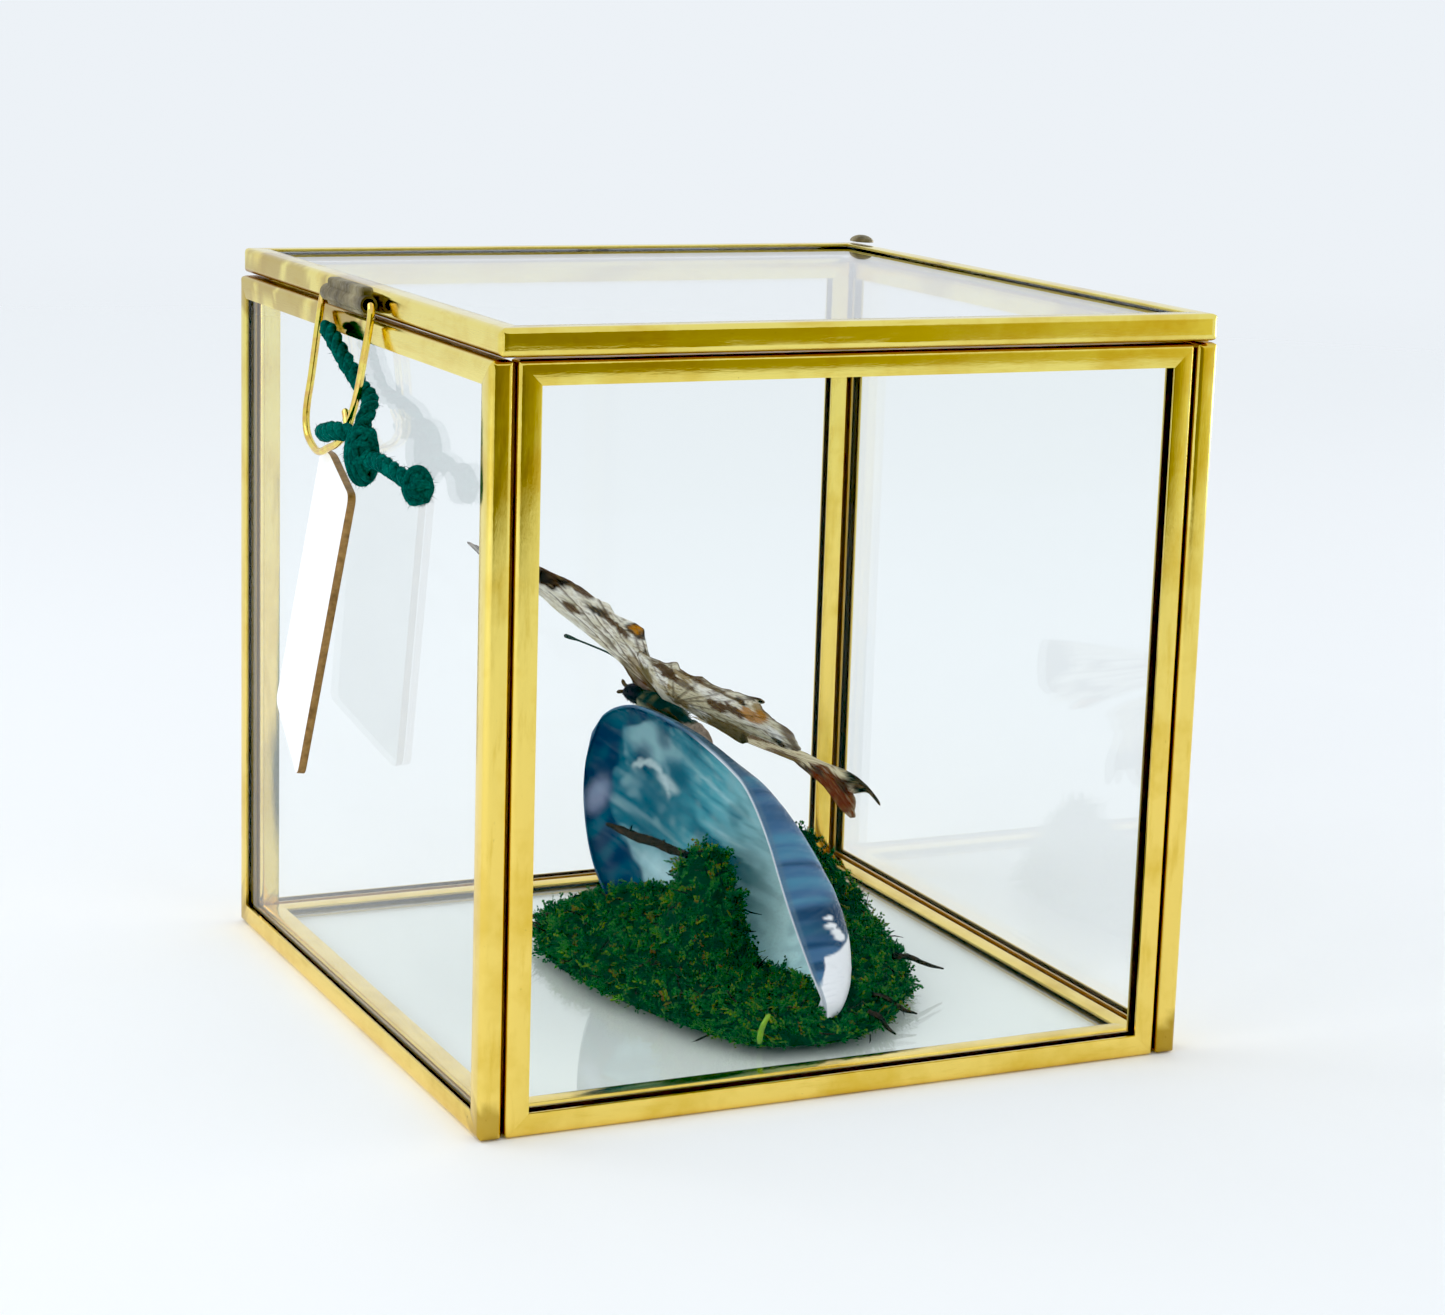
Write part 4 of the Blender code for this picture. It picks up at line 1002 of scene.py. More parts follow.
butterfly = {
    "at": (2.3, 8.0, 37.8), "forward": (-0.4502, 0.8690, 0.2051), "left": (-0.6060, -0.4660, 0.6450),
    "liftLeft": 1.7, "liftRight": 25.0, "thick": 0.13,
    "rings": 46, "wave": 0.32, "ragged": 0.35,                 # mm
    # each wing: side, kind, where its veins begin, mm that it lies lower, CAD node
    "wings": {
        "forewing_left": (1, "fore", (1.6, 4.4), 0.0, "wing_fore_left"),
        "forewing_right": (-1, "fore", (1.6, 4.4), 0.0, "wing_fore_right"),
        "hindwing_left": (1, "hind", (3.2, 0.4), 0.6, "wing_hind_left"),
        "hindwing_right": (-1, "far", (3.2, -2.5), 0.7, "wing_hind_right"),
    },
    # outlines and ends of veins of each kind: out from the body, ahead along it
    "fore": [(0.6, 1.8), (0.5, 5.0), (0.8, 8.4), (3.0, 8.9), (6.0, 8.8), (8.5, 9.0), (11.0, 10.0),
             (16.0, 12.5), (20.0, 15.6), (23.6, 20.2), (26.0, 25.2), (26.9, 26.6), (27.7, 24.8),
             (28.2, 21.0), (28.4, 16.5), (28.5, 12.0), (28.5, 9.6), (28.0, 6.6), (26.7, 4.6),
             (27.0, 1.9), (25.6, 2.4), (24.5, 1.8), (24.1, -1.4), (23.0, -2.5), (21.2, -1.3),
             (19.0, 0.4), (16.5, 0.9), (12.5, 2.6), (8.5, 3.4), (4.0, 2.6)],
    "hind": [(2.2, 2.8), (6.0, 3.2), (10.0, 3.0), (14.6, 2.0), (16.8, 0.3), (16.2, -2.3), (17.2, -4.6),
             (19.0, -7.2), (16.9, -7.0), (16.4, -8.6), (17.1, -10.6), (16.3, -12.6), (16.7, -14.6),
             (17.6, -17.0), (18.2, -19.4), (19.4, -22.5), (18.2, -22.0), (17.0, -20.8), (14.6, -21.6),
             (13.2, -23.0), (12.2, -24.2), (9.4, -24.6), (7.6, -24.3), (6.0, -22.6), (5.0, -19.5),
             (5.2, -16.5), (4.6, -14.6), (2.8, -13.0), (0.8, -12.2), (-0.6, -10.2), (0.6, -6.8),
             (2.4, -4.6), (2.4, -1.0)],
    "far": [(2.6, 0.2), (6.0, -0.1), (11.0, -0.7), (15.0, -1.6), (17.6, -2.9), (18.8, -5.2),
            (18.2, -7.6), (18.5, -10.0), (18.0, -12.4), (18.4, -15.0), (18.9, -17.2), (19.6, -19.2),
            (20.2, -21.4), (20.4, -23.4), (19.7, -23.6), (18.8, -21.4), (17.4, -19.6), (17.0, -21.4),
            (15.6, -23.2), (13.6, -23.4), (12.0, -22.0), (10.8, -19.4), (8.0, -17.6), (5.0, -15.2),
            (3.2, -12.0), (2.6, -7.0)],
    "foreVeins": [(26.5, 26.0), (28.0, 18.5), (28.4, 12.5), (28.0, 8.5), (27.0, 4.2), (24.3, 0.2),
                  (21.0, -1.0)],
    "hindVeins": [(16.6, 0.0), (17.6, -5.5), (16.8, -10.5), (17.0, -15.5), (19.0, -21.5), (14.0, -22.0),
                  (10.0, -24.0), (6.2, -22.0)],
}

forward = Vector(butterfly["forward"]).normalized()
left = Vector(butterfly["left"])
left = (left - forward * forward.dot(left)).normalized()
upward = forward.cross(left)


def bodyPoint(side, ahead, high):
    return (Vector(butterfly["at"]) + left * side + forward * ahead + upward * high) * mm


def wingPoint(side, out, ahead, high):
    lift = math.radians(butterfly["liftLeft"] if side > 0 else butterfly["liftRight"])
    outward = left * (side * math.cos(lift)) + upward * math.sin(lift)
    normal = upward * math.cos(lift) - left * (side * math.sin(lift))
    return (Vector(butterfly["at"]) + outward * out + forward * ahead + normal * high) * mm


def farDroop(out, ahead):
    # the far hindwing's lobe hangs down past its middle
    past = max(-16.0 - ahead, 0.0)
    lobe = min(max((18.4 - out) / 1.6, 0.0), 1.0)
    return lobe * past * 0.66 + (1.0 - lobe) * 0.055 * max(-17.0 - ahead, 0.0) ** 2


scales = {
    "white": (0.95, 0.94, 0.90), "cream": (0.66, 0.60, 0.41), "tan": (0.34, 0.23, 0.095),
    "olive": (0.17, 0.12, 0.036), "brown": (0.085, 0.032, 0.012), "dark": (0.020, 0.006, 0.006),
    "ochre": (0.50, 0.19, 0.010), "rust": (0.13, 0.018, 0.003), "black": (0.002, 0.006, 0.006),
    "dusty": (0.55, 0.42, 0.30), "ribbed": (0.50, 0.38, 0.24),
    # colour, centre (out, ahead), reach, turn in degrees, how strong
    "foreMarks": [
        ("olive", (4.5, 4.4), (5.0, 1.7), -8, 0.9), ("tan", (8.5, 5.6), (4.0, 1.1), -20, 0.7),
        ("rust", (2.0, 7.2), (3.0, 1.6), 0, 0.8), ("olive", (6.0, 8.0), (3.4, 1.0), 0, 0.7),
        ("brown", (13.6, 8.4), (1.9, 0.9), 20, 0.55), ("brown", (16.4, 9.4), (1.2, 0.7), 20, 0.35),
        ("brown", (19.3, 12.3), (1.4, 1.9), 10, 0.95), ("dark", (25.8, 14.2), (3.2, 2.2), -50, 1.0),
        ("dark", (27.4, 11.0), (1.7, 2.6), 0, 1.0), ("dark", (26.0, 19.5), (2.6, 6.5), -8, 1.0),
        ("brown", (26.9, 7.0), (1.6, 2.0), 0, 0.95), ("dark", (22.4, 6.0), (1.5, 1.7), 15, 0.95),
        ("brown", (20.8, 4.0), (1.3, 1.4), 0, 0.9), ("brown", (19.2, 2.9), (1.5, 1.1), 0, 0.95),
        ("brown", (23.8, 3.8), (0.9, 1.6), 25, 0.6), ("dark", (21.8, -0.6), (2.9, 1.7), -40, 0.95),
        ("ochre", (22.1, -0.7), (2.2, 0.85), -42, 1.0), ("dark", (20.6, 0.6), (0.6, 0.6), 0, 0.8),
    ],
    "hindMarks": [
        ("tan", (6.0, -1.4), (3.0, 2.4), 0, 0.9), ("white", (11.0, -0.8), (3.4, 1.2), -20, 0.95),
        ("cream", (8.6, -5.4), (2.6, 3.2), 0, 0.8), ("olive", (11.0, 2.7), (7.0, 1.3), -10, 0.95),
        ("white", (13.6, 1.4), (2.2, 0.9), -20, 0.9), ("brown", (13.4, -2.6), (2.7, 2.3), -20, 0.95),
        ("brown", (11.8, -5.2), (1.5, 2.2), 0, 0.8), ("tan", (14.6, -6.2), (1.7, 1.6), 0, 0.8),
        ("brown", (16.2, -8.8), (1.2, 2.4), 0, 0.8), ("cream", (6.4, -9.5), (1.7, 10.5), -2, 0.95),
        ("white", (13.2, -11.6), (1.5, 4.4), 4, 0.95), ("brown", (9.4, -10.0), (1.7, 1.9), 0, 0.95),
        ("brown", (10.7, -13.6), (1.8, 2.4), 20, 0.95), ("ochre", (11.8, -17.2), (2.9, 1.7), -35, 0.85),
        ("tan", (14.8, -20.2), (2.6, 1.3), -10, 0.9), ("ochre", (13.6, -19.8), (2.0, 0.9), -20, 0.8),
        ("brown", (15.3, -12.6), (0.7, 5.6), -4, 0.8), ("dark", (15.3, -16.9), (1.1, 0.9), 0, 0.95),
        ("dark", (6.6, -20.0), (1.4, 1.3), 0, 0.95), ("white", (9.4, -20.4), (1.7, 1.5), 0, 0.9),
        ("brown", (9.8, -23.4), (3.4, 1.1), 8, 0.8), ("brown", (6.6, -22.6), (1.1, 1.6), 0, 0.8),
        ("black", (18.6, -21.2), (1.0, 2.2), -25, 1.0), ("tan", (2.0, -9.4), (3.2, 5.6), 20, 1.0),
        ("brown", (1.2, -11.6), (2.4, 0.7), -20, 0.6), ("dark", (17.8, -19.4), (0.8, 1.0), 0, 0.8),
    ],
    "farMarks": [
        ("brown", (10.0, -6.0), (4.5, 2.6), -20, 0.9), ("cream", (20.0, -9.0), (4.0, 6.5), 0, 0.9),
        ("brown", (7.0, -13.6), (3.4, 2.6), 30, 0.9), ("olive", (4.8, -15.6), (2.4, 2.0), 0, 0.9),
        ("dark", (8.6, -18.2), (3.0, 1.7), -20, 0.95), ("rust", (13.0, -19.5), (4.4, 4.2), 0, 1.0),
        ("dark", (11.6, -17.0), (1.5, 1.0), 0, 0.9), ("dark", (16.4, -18.8), (1.3, 1.1), 0, 0.9),
        ("black", (19.4, -20.8), (1.6, 4.4), 8, 1.0),
    ],
}


def marked(out, ahead, marks, tint):
    for name, centre, reach, turn, strength in marks:
        x, y = out - centre[0], ahead - centre[1]
        angle = math.radians(turn)
        along = (x * math.cos(angle) + y * math.sin(angle)) / reach[0]
        across = (y * math.cos(angle) - x * math.sin(angle)) / reach[1]
        away = math.hypot(along, across)
        if away > 1.8:
            continue
        away += 0.42 * ripple(out * 1.1, ahead * 1.1, centre[0])
        away += 0.22 * ripple(out * 2.9, ahead * 2.9, centre[1])
        tint = tinted(tint, scales[name], (1 - ease(0.82, 1.10, away)) * strength)
    return tint


def veinNear(spot, root, veins):
    # 1 on a vein, falling off within a fraction of a millimetre
    best = 0.0
    x, y = spot[0] - root[0], spot[1] - root[1]
    for vein in veins:
        vx, vy = vein[0] - root[0], vein[1] - root[1]
        long = math.hypot(vx, vy)
        along = (x * vx + y * vy) / long
        off = (y * vx - x * vy) / long
        off -= 0.035 * along * (1 - along / long) * (1 if vy > 0 else -1)
        if 0 < along < long * 1.05:
            best = max(best, 1 - ease(0.10, 0.30, abs(off)))
    return best


def wingTint(kind, out, ahead, edge, vein):
    s = scales
    if kind == "fore":
        tint = tinted(s["white"], s["cream"], 0.35 + 0.5 * ripple(out * 0.4, ahead * 0.4, 2.0))
        rim = (1 - ease(0.3, 1.15, edge)) * ease(1.0, 2.0, ahead - 6.5) * 0.95
    elif kind == "hind":
        tint = tinted(s["cream"], s["white"], 0.4 + 0.6 * ripple(out * 0.5, ahead * 0.3, 5.0))
        rim = (1 - ease(0.15, 0.6, edge)) * ease(9.0, 12.0, out) * 0.8
    else:
        tint = s["cream"]
        rim = (1 - ease(0.1, 0.5, edge)) * 0.7
    tint = tinted(marked(out, ahead, s[kind + "Marks"], tint), s["brown"], rim)
    tint = tinted(tint, s["brown"], ease(0.12, 0.45, ripple(out * 1.8, ahead * 0.9, 3.0)) * 0.6)
    tint = tinted(tint, s["tan"], ease(0.15, 0.45, ripple(out * 2.6, ahead * 1.9, 8.0)) * 0.55)
    return tinted(tint, s["brown"], vein * (0.75 if kind == "fore" else 0.5))


def wingLook():
    look = Look("wing_scales", Specular_IOR_Level=0.05, Roughness=0.9)
    place = look.attribute("wingPlace", "Vector")
    dust = look.noise(5.5, 4.0, 0.7, place)
    ribs = look.noise(2.4, 4.0, 0.6, look.stretched(place, 1.0, 0.35, 1.0))
    tint = look.attribute("wingTint", "Color")
    tint = look.blend(look.range(dust, 0.48, 0.80, 0.0, 0.45), tint, scales["dusty"], "MULTIPLY")
    tint = look.blend(look.range(ribs, 0.50, 0.80, 0.0, 0.6), tint, scales["ribbed"], "MULTIPLY")
    look.set(Base_Color=tint, Normal=look.bump(dust, 0.00006, 0.8))
    return look.material


def makeWing(name, look):
    b = butterfly
    side, kind, root, drop, node = b["wings"][name]
    veins = b["foreVeins" if kind == "fore" else "hindVeins"]
    border = easePath([Vector((x, y, 0)) for x, y in b[kind] + b[kind][:1]], 5)[:-1]
    count, rings = len(border), b["rings"]
    size = rings + 1
    centre = Vector((*root, 0))
    verts, faces = [], []
    marks = {"wingPlace": [], "wingTint": []}
    for layer in (0.5, -0.5):
        for point in border:
            way = point - centre
            rag = b["ragged"] * noise.noise(point * 0.9 + Vector((side, 0, 4)))
            rim = point + way.normalized() * rag * ease(5, 12, way.length)
            for ring in range(size):
                share = ring / rings
                spot = centre.lerp(rim, share)
                out, ahead = spot.xy
                vein = veinNear(spot, root, veins)
                wave = b["wave"] * ripple(out * 0.20, ahead * 0.20, 6.0 + side)
                wave += 0.10 * ripple(out * 0.9, ahead * 0.5, 1.0 + side)
                high = layer * b["thick"] * (1 - 0.5 * share) - drop
                if kind == "far":
                    high -= farDroop(out, ahead)
                high += (wave * ease(3, 12, (spot - centre).length) + 0.09 * vein) * (1 if side > 0 else 0.6)
                verts.append(wingPoint(side, out, ahead, high))
                marks["wingPlace"].append((out, ahead, layer))
                edge = (rim - centre).length * (1 - share)
                marks["wingTint"].append(wingTint(kind, out, ahead, edge, vein))
    under = count * size
    for index in range(count):
        low = index * size
        high = (index + 1) % count * size
        for start in (0, under):
            for ring in range(start, start + rings):
                faces.append([low + ring, high + ring, high + ring + 1, low + ring + 1])
        faces.append([low + rings, high + rings, under + high + rings, under + low + rings])
    makePiece(name, verts, faces, look, "case", "wing", [node], 60, marks, 0.000001)


def makeWings():
    look = wingLook()
    for name in butterfly["wings"]:
        makeWing(name, look)
    print("wings made")


makeWings()


insect = {
    # ahead, high, radius
    "line": [(10.6, -1.0, 0.05), (10.3, -1.0, 0.80), (9.4, -0.8, 1.30), (8.3, -0.8, 1.35),
             (7.4, -1.0, 1.15), (6.5, -1.1, 1.60), (4.8, -1.2, 2.15), (2.8, -1.4, 2.25),
             (0.8, -1.7, 2.05), (-0.8, -2.0, 1.55), (-1.6, -2.2, 1.45), (-2.8, -2.5, 1.75),
             (-4.4, -2.8, 1.80), (-5.8, -3.1, 1.45), (-6.8, -3.3, 0.85), (-7.2, -3.4, 0.06)],
    "feelers": [[(0.4, 9.0, -0.2), (0.6, 11.5, 1.5), (0.9, 15.0, 2.6), (2.4, 19.0, 2.1), (3.7, 22.3, 1.4)],
                [(-0.4, 9.0, -0.2), (-1.0, 12.0, 2.3), (-1.8, 16.5, 4.6), (-2.3, 20.8, 6.2)]],
    "palps": [[(0.4, 9.4, -0.6), (0.6, 10.7, -0.5), (0.9, 11.4, 0.0)],
              [(-0.2, 9.4, -0.8), (0.0, 10.8, -1.4), (0.1, 11.5, -1.9)]],
    "legs": [[(1.2, 5.2, -1.8), (2.2, 4.2, -2.2), (2.3, 2.0, -2.5), (1.6, -0.2, -2.8)],
             [(-1.2, 5.2, -1.8), (-2.2, 4.2, -2.2), (-2.3, 2.0, -2.5), (-1.6, -0.2, -2.8)],
             [(1.5, 2.6, -2.0), (2.6, 0.8, -2.0), (2.2, -1.4, -2.4), (1.3, -3.2, -3.0)],
             [(-1.5, 2.6, -2.0), (-2.6, 0.8, -2.0), (-2.2, -1.4, -2.4), (-1.3, -3.2, -3.0)]],
    "eyeAt": (0.95, 9.0, -0.9), "eye": 0.62, "sides": 28, "seed": 5,
    "hairs": 2600, "hairLong": (0.4, 1.05), "hair": (0.045, 0.035, 0.010),      # mm
    "head": (0.016, 0.005, 0.014), "thorax": (0.010, 0.030, 0.028), "thoraxPale": (0.12, 0.11, 0.045),
    "belly": (0.52, 0.49, 0.30), "abdomen": (0.76, 0.62, 0.52), "abdomenTop": (0.42, 0.30, 0.23),
    "feeler": (0.035, 0.055, 0.045), "palp": (0.075, 0.040, 0.014), "grain": (0.012, 0.010, 0.010),
}


def insectTint(side, ahead, high, level):
    # level: -1 under the body, 1 on top
    i = insect
    mottle = ripple(side * 1.1, ahead * 1.0, high * 1.1)
    tint = tinted(i["thorax"], i["thoraxPale"], ease(0.0, 0.5, mottle) * 0.9)
    tint = tinted(tint, i["belly"], (1 - ease(-0.85, -0.45, level)) * 0.9)
    low = tinted(i["abdomen"], i["abdomenTop"], ease(0.2, 0.9, level + mottle * 0.5))
    ring = 0.5 + 0.5 * math.sin(ahead * 5.2)
    low = tinted(low, i["abdomenTop"], ring ** 4 * 0.35)
    back = ahead + mottle * 0.6 + 2.6 * ease(-0.3, 0.5, level)
    tint = tinted(tint, low, 1 - ease(-1.5, -0.3, back))
    return tinted(tint, i["head"], ease(7.0, 7.7, ahead))


def insectLook():
    look = Look("insect_body", Roughness=0.85, Specular_IOR_Level=0.2)
    grain = look.noise(2600.0, 4.0, 0.65)
    tint = look.attribute("bodyTint", "Color")
    look.set(Base_Color=look.blend(look.range(grain, 0.45, 0.75, 0.0, 0.5), tint, insect["grain"]),
             Normal=look.bump(grain, 0.00018, 0.8))
    return look.material


def insectPiece(name, verts, faces, tints, look, replaced=(), smoothAngle=180):
    makePiece(name, verts, faces, look, "case", "butterfly_body", replaced, smoothAngle, {"bodyTint": tints})


def makeBody(look):
    path = easePath([Vector((0.0, ahead, high)) for ahead, high, radius in insect["line"]], 6)
    radii = easeRadii([radius for ahead, high, radius in insect["line"]], 6, 0.03)
    sides = insect["sides"]
    verts, tints = [], []
    for point, radius in zip(path, radii):
        for turn in range(sides):
            angle = 2 * math.pi * turn / sides
            rough = 1 + 0.06 * ripple(math.cos(angle) * 1.6, point.y * 0.8, math.sin(angle) * 1.6)
            if point.y < -1.2:
                rough -= 0.05 * (0.5 + 0.5 * math.sin(point.y * 5.2)) ** 3
            side = math.cos(angle) * radius * rough
            high = point.z + math.sin(angle) * radius * rough
            verts.append(bodyPoint(side, point.y, high))
            tints.append(insectTint(side, point.y, high, math.sin(angle)))
    insectPiece("insect_body", verts, ringFaces(len(path), sides), tints, look, ["butterfly_body"], 80)
    return path, verts, tints


def makeHair(look, path, verts, tints):
    # hairs over the thorax and head
    rng = random.Random(insect["seed"])
    parts, hairTints = [], []
    for index in range(insect["hairs"]):
        pick = rng.randrange(len(verts))
        row, turn = divmod(pick, insect["sides"])
        ahead = path[row].y
        if ahead < -1.0:
            continue
        angle = 2 * math.pi * turn / insect["sides"]
        out = left * math.cos(angle) + upward * math.sin(angle)
        way = out * rng.uniform(0.5, 1.0) - forward * rng.uniform(0.2, 1.0) + gaussWay(rng) * 0.3
        way.normalize()
        long = rng.uniform(*insect["hairLong"]) * (1.0 if ahead < 7 else 0.6) * mm
        start = verts[pick] - out * 0.15 * mm
        line = [start, start + way * long * 0.6, start + way * long - out * long * 0.15]
        parts.append(tube(line, [radius * mm for radius in insect["hair"]], 3))
        tint = tinted(tints[pick], insect["thoraxPale"], rng.uniform(0.0, 0.5))
        hairTints.extend([tint] * len(parts[-1][0]))
    insectPiece("insect_hair", *joined(parts), hairTints, look)


def makeLimbs(look):
    # feelers with their clubs, palps, legs and eyes
    i = insect
    limbs = []
    for line in i["feelers"]:
        spots = easePath([bodyPoint(*point) for point in line], 10)
        reach = [0.14 + 0.16 * ease(0.82, 0.93, at / (len(spots) - 1)) for at in range(len(spots) - 1)]
        limbs.append((spots, reach + [0.12], 8, "feeler"))
    for name, radius, tip, sides in (("palps", 0.28, [0.22, 0.14, 0.04], 8), ("legs", 0.20, [0.08], 7)):
        for line in i[name]:
            spots = easePath([bodyPoint(*point) for point in line], 6)
            limbs.append((spots, [radius] * (len(spots) - len(tip)) + tip, sides, "palp"))
    turns = [math.pi * step / 10 for step in range(11)]
    x, ahead, high = i["eyeAt"]
    for side in (1, -1):
        centre = bodyPoint(x * side, ahead, high)
        spots = [centre + left * side * math.cos(turn) * i["eye"] * mm for turn in turns[::-1]]
        limbs.append((spots, [max(math.sin(turn), 0.02) * i["eye"] for turn in turns], 16, "head"))
    parts, tints = [], []
    for spots, reach, sides, tint in limbs:
        parts.append(tube(spots, [radius * mm for radius in reach], sides))
        tints.extend([i[tint]] * len(parts[-1][0]))
    insectPiece("insect_limbs", *joined(parts), tints, look)


def makeInsect():
    look = insectLook()
    makeHair(look, *makeBody(look))
    makeLimbs(look)
    print("insect made")


makeInsect()


moss = {
    "sprigs": 8000, "leaves": 9, "seed": 11,
    "stem": (1.2, 2.6), "leafLong": (0.42, 0.85), "leafWide": (0.28, 0.48),   # mm, least and most
    "floor": 2.56,                                                           # mm, just over the pane
    "lumps": 0.75,                                                           # mm, how uneven the pad is
    "shellGap": 0.4,                                                         # mm, between leaves and shell
    "coarse": 1.2,                                                           # mm, edges of the pad to cut up
    "tints": [(0.0, (0.010, 0.032, 0.015)), (0.28, (0.014, 0.078, 0.027)), (0.55, (0.026, 0.155, 0.034)),
              (0.78, (0.065, 0.230, 0.028)), (0.92, (0.20, 0.30, 0.018)), (1.0, (0.17, 0.075, 0.022))],
}


def mossLook():
    look = Look("moss_leaves", Roughness=0.8, Specular_IOR_Level=0.03)
    shade = look.attribute("mossShade")
    grain = look.noise(1500.0, 3.0)
    shade = look.maths("ADD", shade, look.range(grain, 0.3, 0.7, -0.06, 0.06))
    look.set(Base_Color=look.ramp(shade, moss["tints"]), Normal=look.bump(grain, 0.00008, 0.6))
    return look.material


def mossGround(look, shellTree):
    # the pad, made uneven, under the leaves
    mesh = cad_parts["moss_pad"].data.copy()
    work = bmesh.new()
    work.from_mesh(mesh)
    bmesh.ops.remove_doubles(work, verts=work.verts[:], dist=0.00001)
    long = [edge for edge in work.edges if edge.calc_length() > moss["coarse"] * mm]
    bmesh.ops.subdivide_edges(work, edges=long, cuts=2, use_grid_fill=True)
    bmesh.ops.triangulate(work, faces=work.faces[:])
    work.normal_update()
    moves = []
    for vert in work.verts:
        spot = vert.co / mm
        near = shellTree.find_nearest(vert.co)[3] / mm
        high = noise.noise(spot * 0.55) + 0.6 * noise.noise(spot * 1.3)
        free = ease(0.6, 2.0, near) * ease(moss["floor"] + 0.2, moss["floor"] + 1.2, spot.z)
        moves.append(vert.normal * (moss["lumps"] * high * free * mm))
    for vert, move in zip(work.verts, moves):
        vert.co += move
    work.to_mesh(mesh)
    work.free()
    made = dress(mesh, "moss_ground", look, "case", ["moss_pad"], 180)
    # the pad takes the darkest moss green: partly the moss's own dark inner growth, partly painted shade for
    # the deep gaps between the leaves
    paint(mesh, "mossShade", [0.04 + 0.05 * noise.noise(vert.co * 900) for vert in mesh.vertices])
    return made


def mossSeeds(mesh, count, rng):
    # spots spread evenly over the pad's upper faces, with their normals
    mesh.calc_loop_triangles()
    picked = [triangle for triangle in mesh.loop_triangles
              if triangle.normal.z > -0.85 and triangle.area > 0]
    weights = [triangle.area for triangle in picked]
    out = []
    for triangle in rng.choices(picked, weights, k=count):
        a, b, c = [mesh.vertices[corner].co for corner in triangle.vertices]
        s, t = rng.random(), rng.random()
        if s + t > 1:
            s, t = 1 - s, 1 - t
        out.append((a + (b - a) * s + (c - a) * t, triangle.normal.copy()))
    return out


def leaf(base, way, wide, up):
    # a small closed leaf: root, two sides, a raised rib and a tip
    side = way.cross(up).normalized() * wide
    middle = base + way * 0.62
    under = middle - up * wide * 0.18
    tip = base + way - up * wide * 0.25
    return [base, middle + side, middle - side, middle + up * wide * 0.30, under, tip]


leafFaces = [(0, 1, 3), (0, 3, 2), (0, 4, 1), (0, 2, 4), (1, 5, 3), (3, 5, 2), (1, 4, 5), (4, 2, 5)]


def clearLeaf(shape, shellTree):
    # whether a leaf keeps off the pane and the shell
    if min(point.z for point in shape) < moss["floor"] * mm:
        return False
    near = shellTree.find_nearest(shape[5])[3]
    if near is not None and near < moss["shellGap"] * mm:
        return False
    way = shape[5] - shape[0]
    return shellTree.ray_cast(shape[0], way.normalized(), way.length)[0] is None


def mossTone(spot, rng):
    tone = min(max(0.47 + 0.35 * noise.noise(spot * 260) + rng.gauss(0, 0.10), 0.05), 0.86)
    if rng.random() < 0.06:
        return 1.0     # a dead one
    if rng.random() < 0.10:
        return rng.uniform(0.8, 0.93)
    return tone


def growSprig(spot, normal, shellTree, rng, verts, faces, shades):
    # leaves to the left and right along a bent stem
    flat = normal.orthogonal().normalized()
    flat.rotate(Matrix.Rotation(rng.uniform(0, 2 * math.pi), 3, normal))
    way = (flat + normal * rng.uniform(0.10, 0.75) + Vector((0, 0, 0.15))).normalized()
    long = rng.uniform(*moss["stem"]) * mm
    size = rng.uniform(0.75, 1.2) * mm
    tone = mossTone(spot, rng)
    bend = Vector((rng.gauss(0, 0.25), rng.gauss(0, 0.25), rng.gauss(-0.15, 0.2)))
    start = spot - normal * 0.35 * mm
    for step in range(moss["leaves"]):
        share = (step + rng.uniform(0.0, 0.6)) / moss["leaves"]
        ahead = (way + bend * share).normalized()
        lean = ahead.cross(normal)
        if lean.length < 0.1:
            continue
        lean = lean.normalized() * (1 if step % 2 else -1)
        out = (ahead * 0.75 + lean * rng.uniform(0.4, 0.9) + normal * rng.uniform(-0.1, 0.5)).normalized()
        along = out * rng.uniform(*moss["leafLong"]) * size
        wide = rng.uniform(*moss["leafWide"]) * 0.5 * size
        up = out.cross(lean)
        up = up.normalized() if up.length > 0.2 else normal
        shape = leaf(start + ahead * long * share, along, wide, up)
        if not clearLeaf(shape, shellTree):
            continue
        first = len(verts)
        verts.extend(shape)
        faces.extend([[first + corner for corner in face] for face in leafFaces])
        # painted shade: leaves low on the stem darker and those near its end lighter; in each leaf the root
        # is darker, the underside darker still and the tip a little lighter
        shade = tone
        if tone < 0.95:
            shade = min(max(tone + 0.16 * (share - 0.45) + rng.gauss(0, 0.07), 0.0), 0.93)
        shades.extend([shade * 0.8] + [shade] * 3 + [shade * 0.7] + [min(shade + 0.05, 1.0)])


def makeMoss():
    look = mossLook()
    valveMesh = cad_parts["mussel_valve"].data
    shellTree = bvhtree.BVHTree.FromPolygons([vert.co.copy() for vert in valveMesh.vertices],
                                             [tuple(face.vertices) for face in valveMesh.polygons])
    ground = mossGround(look, shellTree)
    rng = random.Random(moss["seed"])
    pieces = [([], [], []) for part in range(3)]
    for index, (spot, normal) in enumerate(mossSeeds(ground.data, moss["sprigs"], rng)):
        growSprig(spot, normal, shellTree, rng, *pieces[index % 3])
    for letter, (verts, faces, shades) in zip("abc", pieces):
        makePiece("moss_leaves_" + letter, verts, faces, look, "case", "moss", (), 180, {"mossShade": shades})
    print("moss made,", sum(len(piece[1]) for piece in pieces), "leaf faces")


makeMoss()


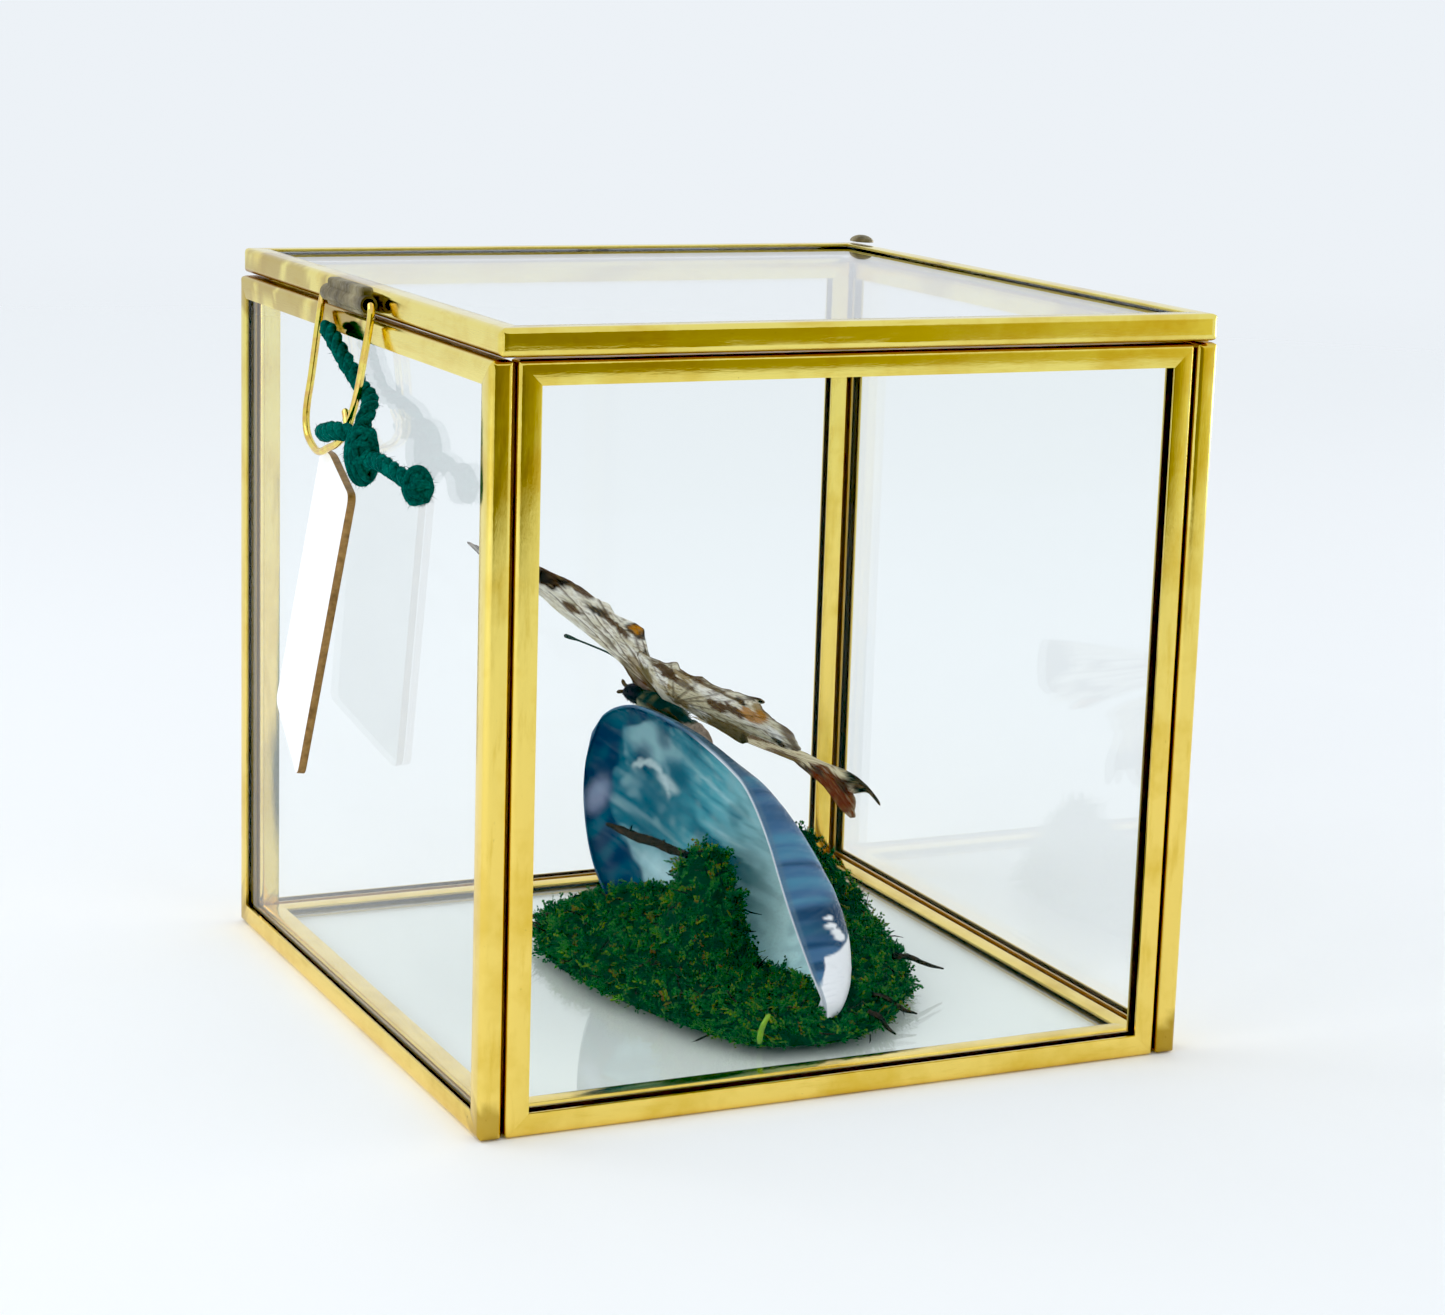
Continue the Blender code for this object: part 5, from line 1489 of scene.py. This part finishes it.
twigs = {
    # line, radii from end to end; the keys are the CAD nodes whose place they take
    "twig_long": [[(-8.0, 11.1, 21.3), (-7.4, 7.4, 21.35), (-6.6, 3.4, 21.2), (-5.9, -0.6, 21.5),
                   (-5.0, -4.8, 21.4), (-4.4, -8.4, 21.6)], (0.22, 0.52, 0.66, 0.62, 0.60, 0.45)],
    "twig_right": [[(22.4, -19.6, 7.6), (25.0, -19.5, 7.2), (27.6, -19.9, 6.0), (30.4, -19.7, 5.0)],
                   (0.42, 0.38, 0.28, 0.12)],
    "twig_right_low": [[(14.6, -28.6, 5.6), (16.2, -30.1, 5.3), (17.4, -32.2, 4.4), (18.9, -33.5, 4.0)],
                       (0.40, 0.34, 0.30, 0.12)],
    "twig_front": [[(11.0, -34.4, 5.4), (11.8, -36.2, 5.1), (12.1, -37.6, 4.2), (12.8, -38.9, 3.5)],
                   (0.40, 0.36, 0.28, 0.12)],
    "twig_left": [[(-11.6, 18.8, 5.6), (-12.6, 20.6, 5.6), (-14.2, 21.8, 5.2), (-15.0, 23.4, 5.0)],
                  (0.32, 0.30, 0.24, 0.10)],
    "sprout": [[(-5.4, -35.0, 3.2), (-6.1, -36.6, 4.4), (-6.4, -37.6, 6.0), (-6.1, -38.1, 7.3),
                (-5.5, -38.1, 8.1)], (0.34, 0.38, 0.38, 0.34, 0.22)],
    # two more parts of the long one
    "side": [[(-7.0, 5.6, 21.3), (-7.1, 4.6, 22.3), (-7.2, 4.0, 22.9)], (0.20, 0.14, 0.05)],
    "stub": [[(-5.4, -2.6, 21.5), (-5.2, -2.6, 22.3)], (0.24, 0.16)],
    "bark": [(0.38, (0.006, 0.004, 0.003)), (0.56, (0.030, 0.014, 0.008)), (0.68, (0.095, 0.050, 0.026)),
             (0.78, (0.34, 0.24, 0.15))],
    "green": [(0.3, (0.10, 0.26, 0.004)), (0.7, (0.22, 0.42, 0.012))],
    "crumbs": 300, "seed": 21,
    "crumbLong": (0.8, 3.0), "crumbWide": (0.05, 0.13), "crumbsOver": 3.2,      # mm, and how high they lie
}


def twig(line, radii, seed):
    reach = [radius * mm for radius in easeRadii(radii, 7, 0.05)]

    def knots(index, angle):
        bumpy = ripple(index * 0.32, math.cos(angle) * 1.2, math.sin(angle) * 1.2 + seed)
        fine = ripple(index * 0.9, math.cos(angle) * 3.0, math.sin(angle) * 3.0 + seed)
        return 1 + 0.30 * bumpy + 0.14 * fine

    return tube(easePath(scaled(line), 7), reach, 12, shape=knots)


def makeCrumbs(look):
    # crumbs of bark and dead leaf caught in the moss
    rng = random.Random(twigs["seed"])
    parts = []
    for spot, normal in mossSeeds(bpy.data.objects["moss_ground"].data, twigs["crumbs"], rng):
        if spot.z < twigs["crumbsOver"] * mm:
            continue
        way = Vector((rng.gauss(0, 1), rng.gauss(0, 1), rng.gauss(0, 0.5))).normalized()
        way = (way + normal * 0.35).normalized()
        long = rng.uniform(*twigs["crumbLong"]) * mm
        bend = gaussWay(rng).normalized() * long * 0.07
        start = spot + normal * rng.uniform(0.2, 0.9) * mm
        wide = rng.uniform(*twigs["crumbWide"]) * mm
        line = [start, start + way * long * 0.5 + bend, start + way * long]
        parts.append(tube(line, [wide, wide * 1.1, wide * 0.4], 5))
    makePiece("moss_crumbs", *joined(parts), look, "case", "twig", (), 60)


def makeTwigs():
    bark = Look("twig_bark", Roughness=0.85, Specular_IOR_Level=0.2)
    grain = bark.noise(1300.0, 5.0, 0.65)
    bark.set(Base_Color=bark.ramp(grain, twigs["bark"]), Normal=bark.bump(grain, 0.0003))
    green = Look("sprout_green", Roughness=0.5)
    green.set(Base_Color=green.ramp(green.noise(500.0, 3.0), twigs["green"]))
    for index, node in enumerate(("twig_long", "twig_right", "twig_right_low", "twig_front", "twig_left")):
        parts = [twig(*twigs[node], index * 3.1)]
        if node == "twig_long":
            parts += [twig(*twigs["side"], 20.0), twig(*twigs["stub"], 24.0)]
        makePiece(node.replace("twig", "stick"), *joined(parts), bark.material, "case", "twig", [node], 60)
    makePiece("green_sprout", *twig(*twigs["sprout"], 9.0), green.material, "case", "sprout", ["sprout"], 60)
    makeCrumbs(bark.material)
    print("twigs made")


makeTwigs()
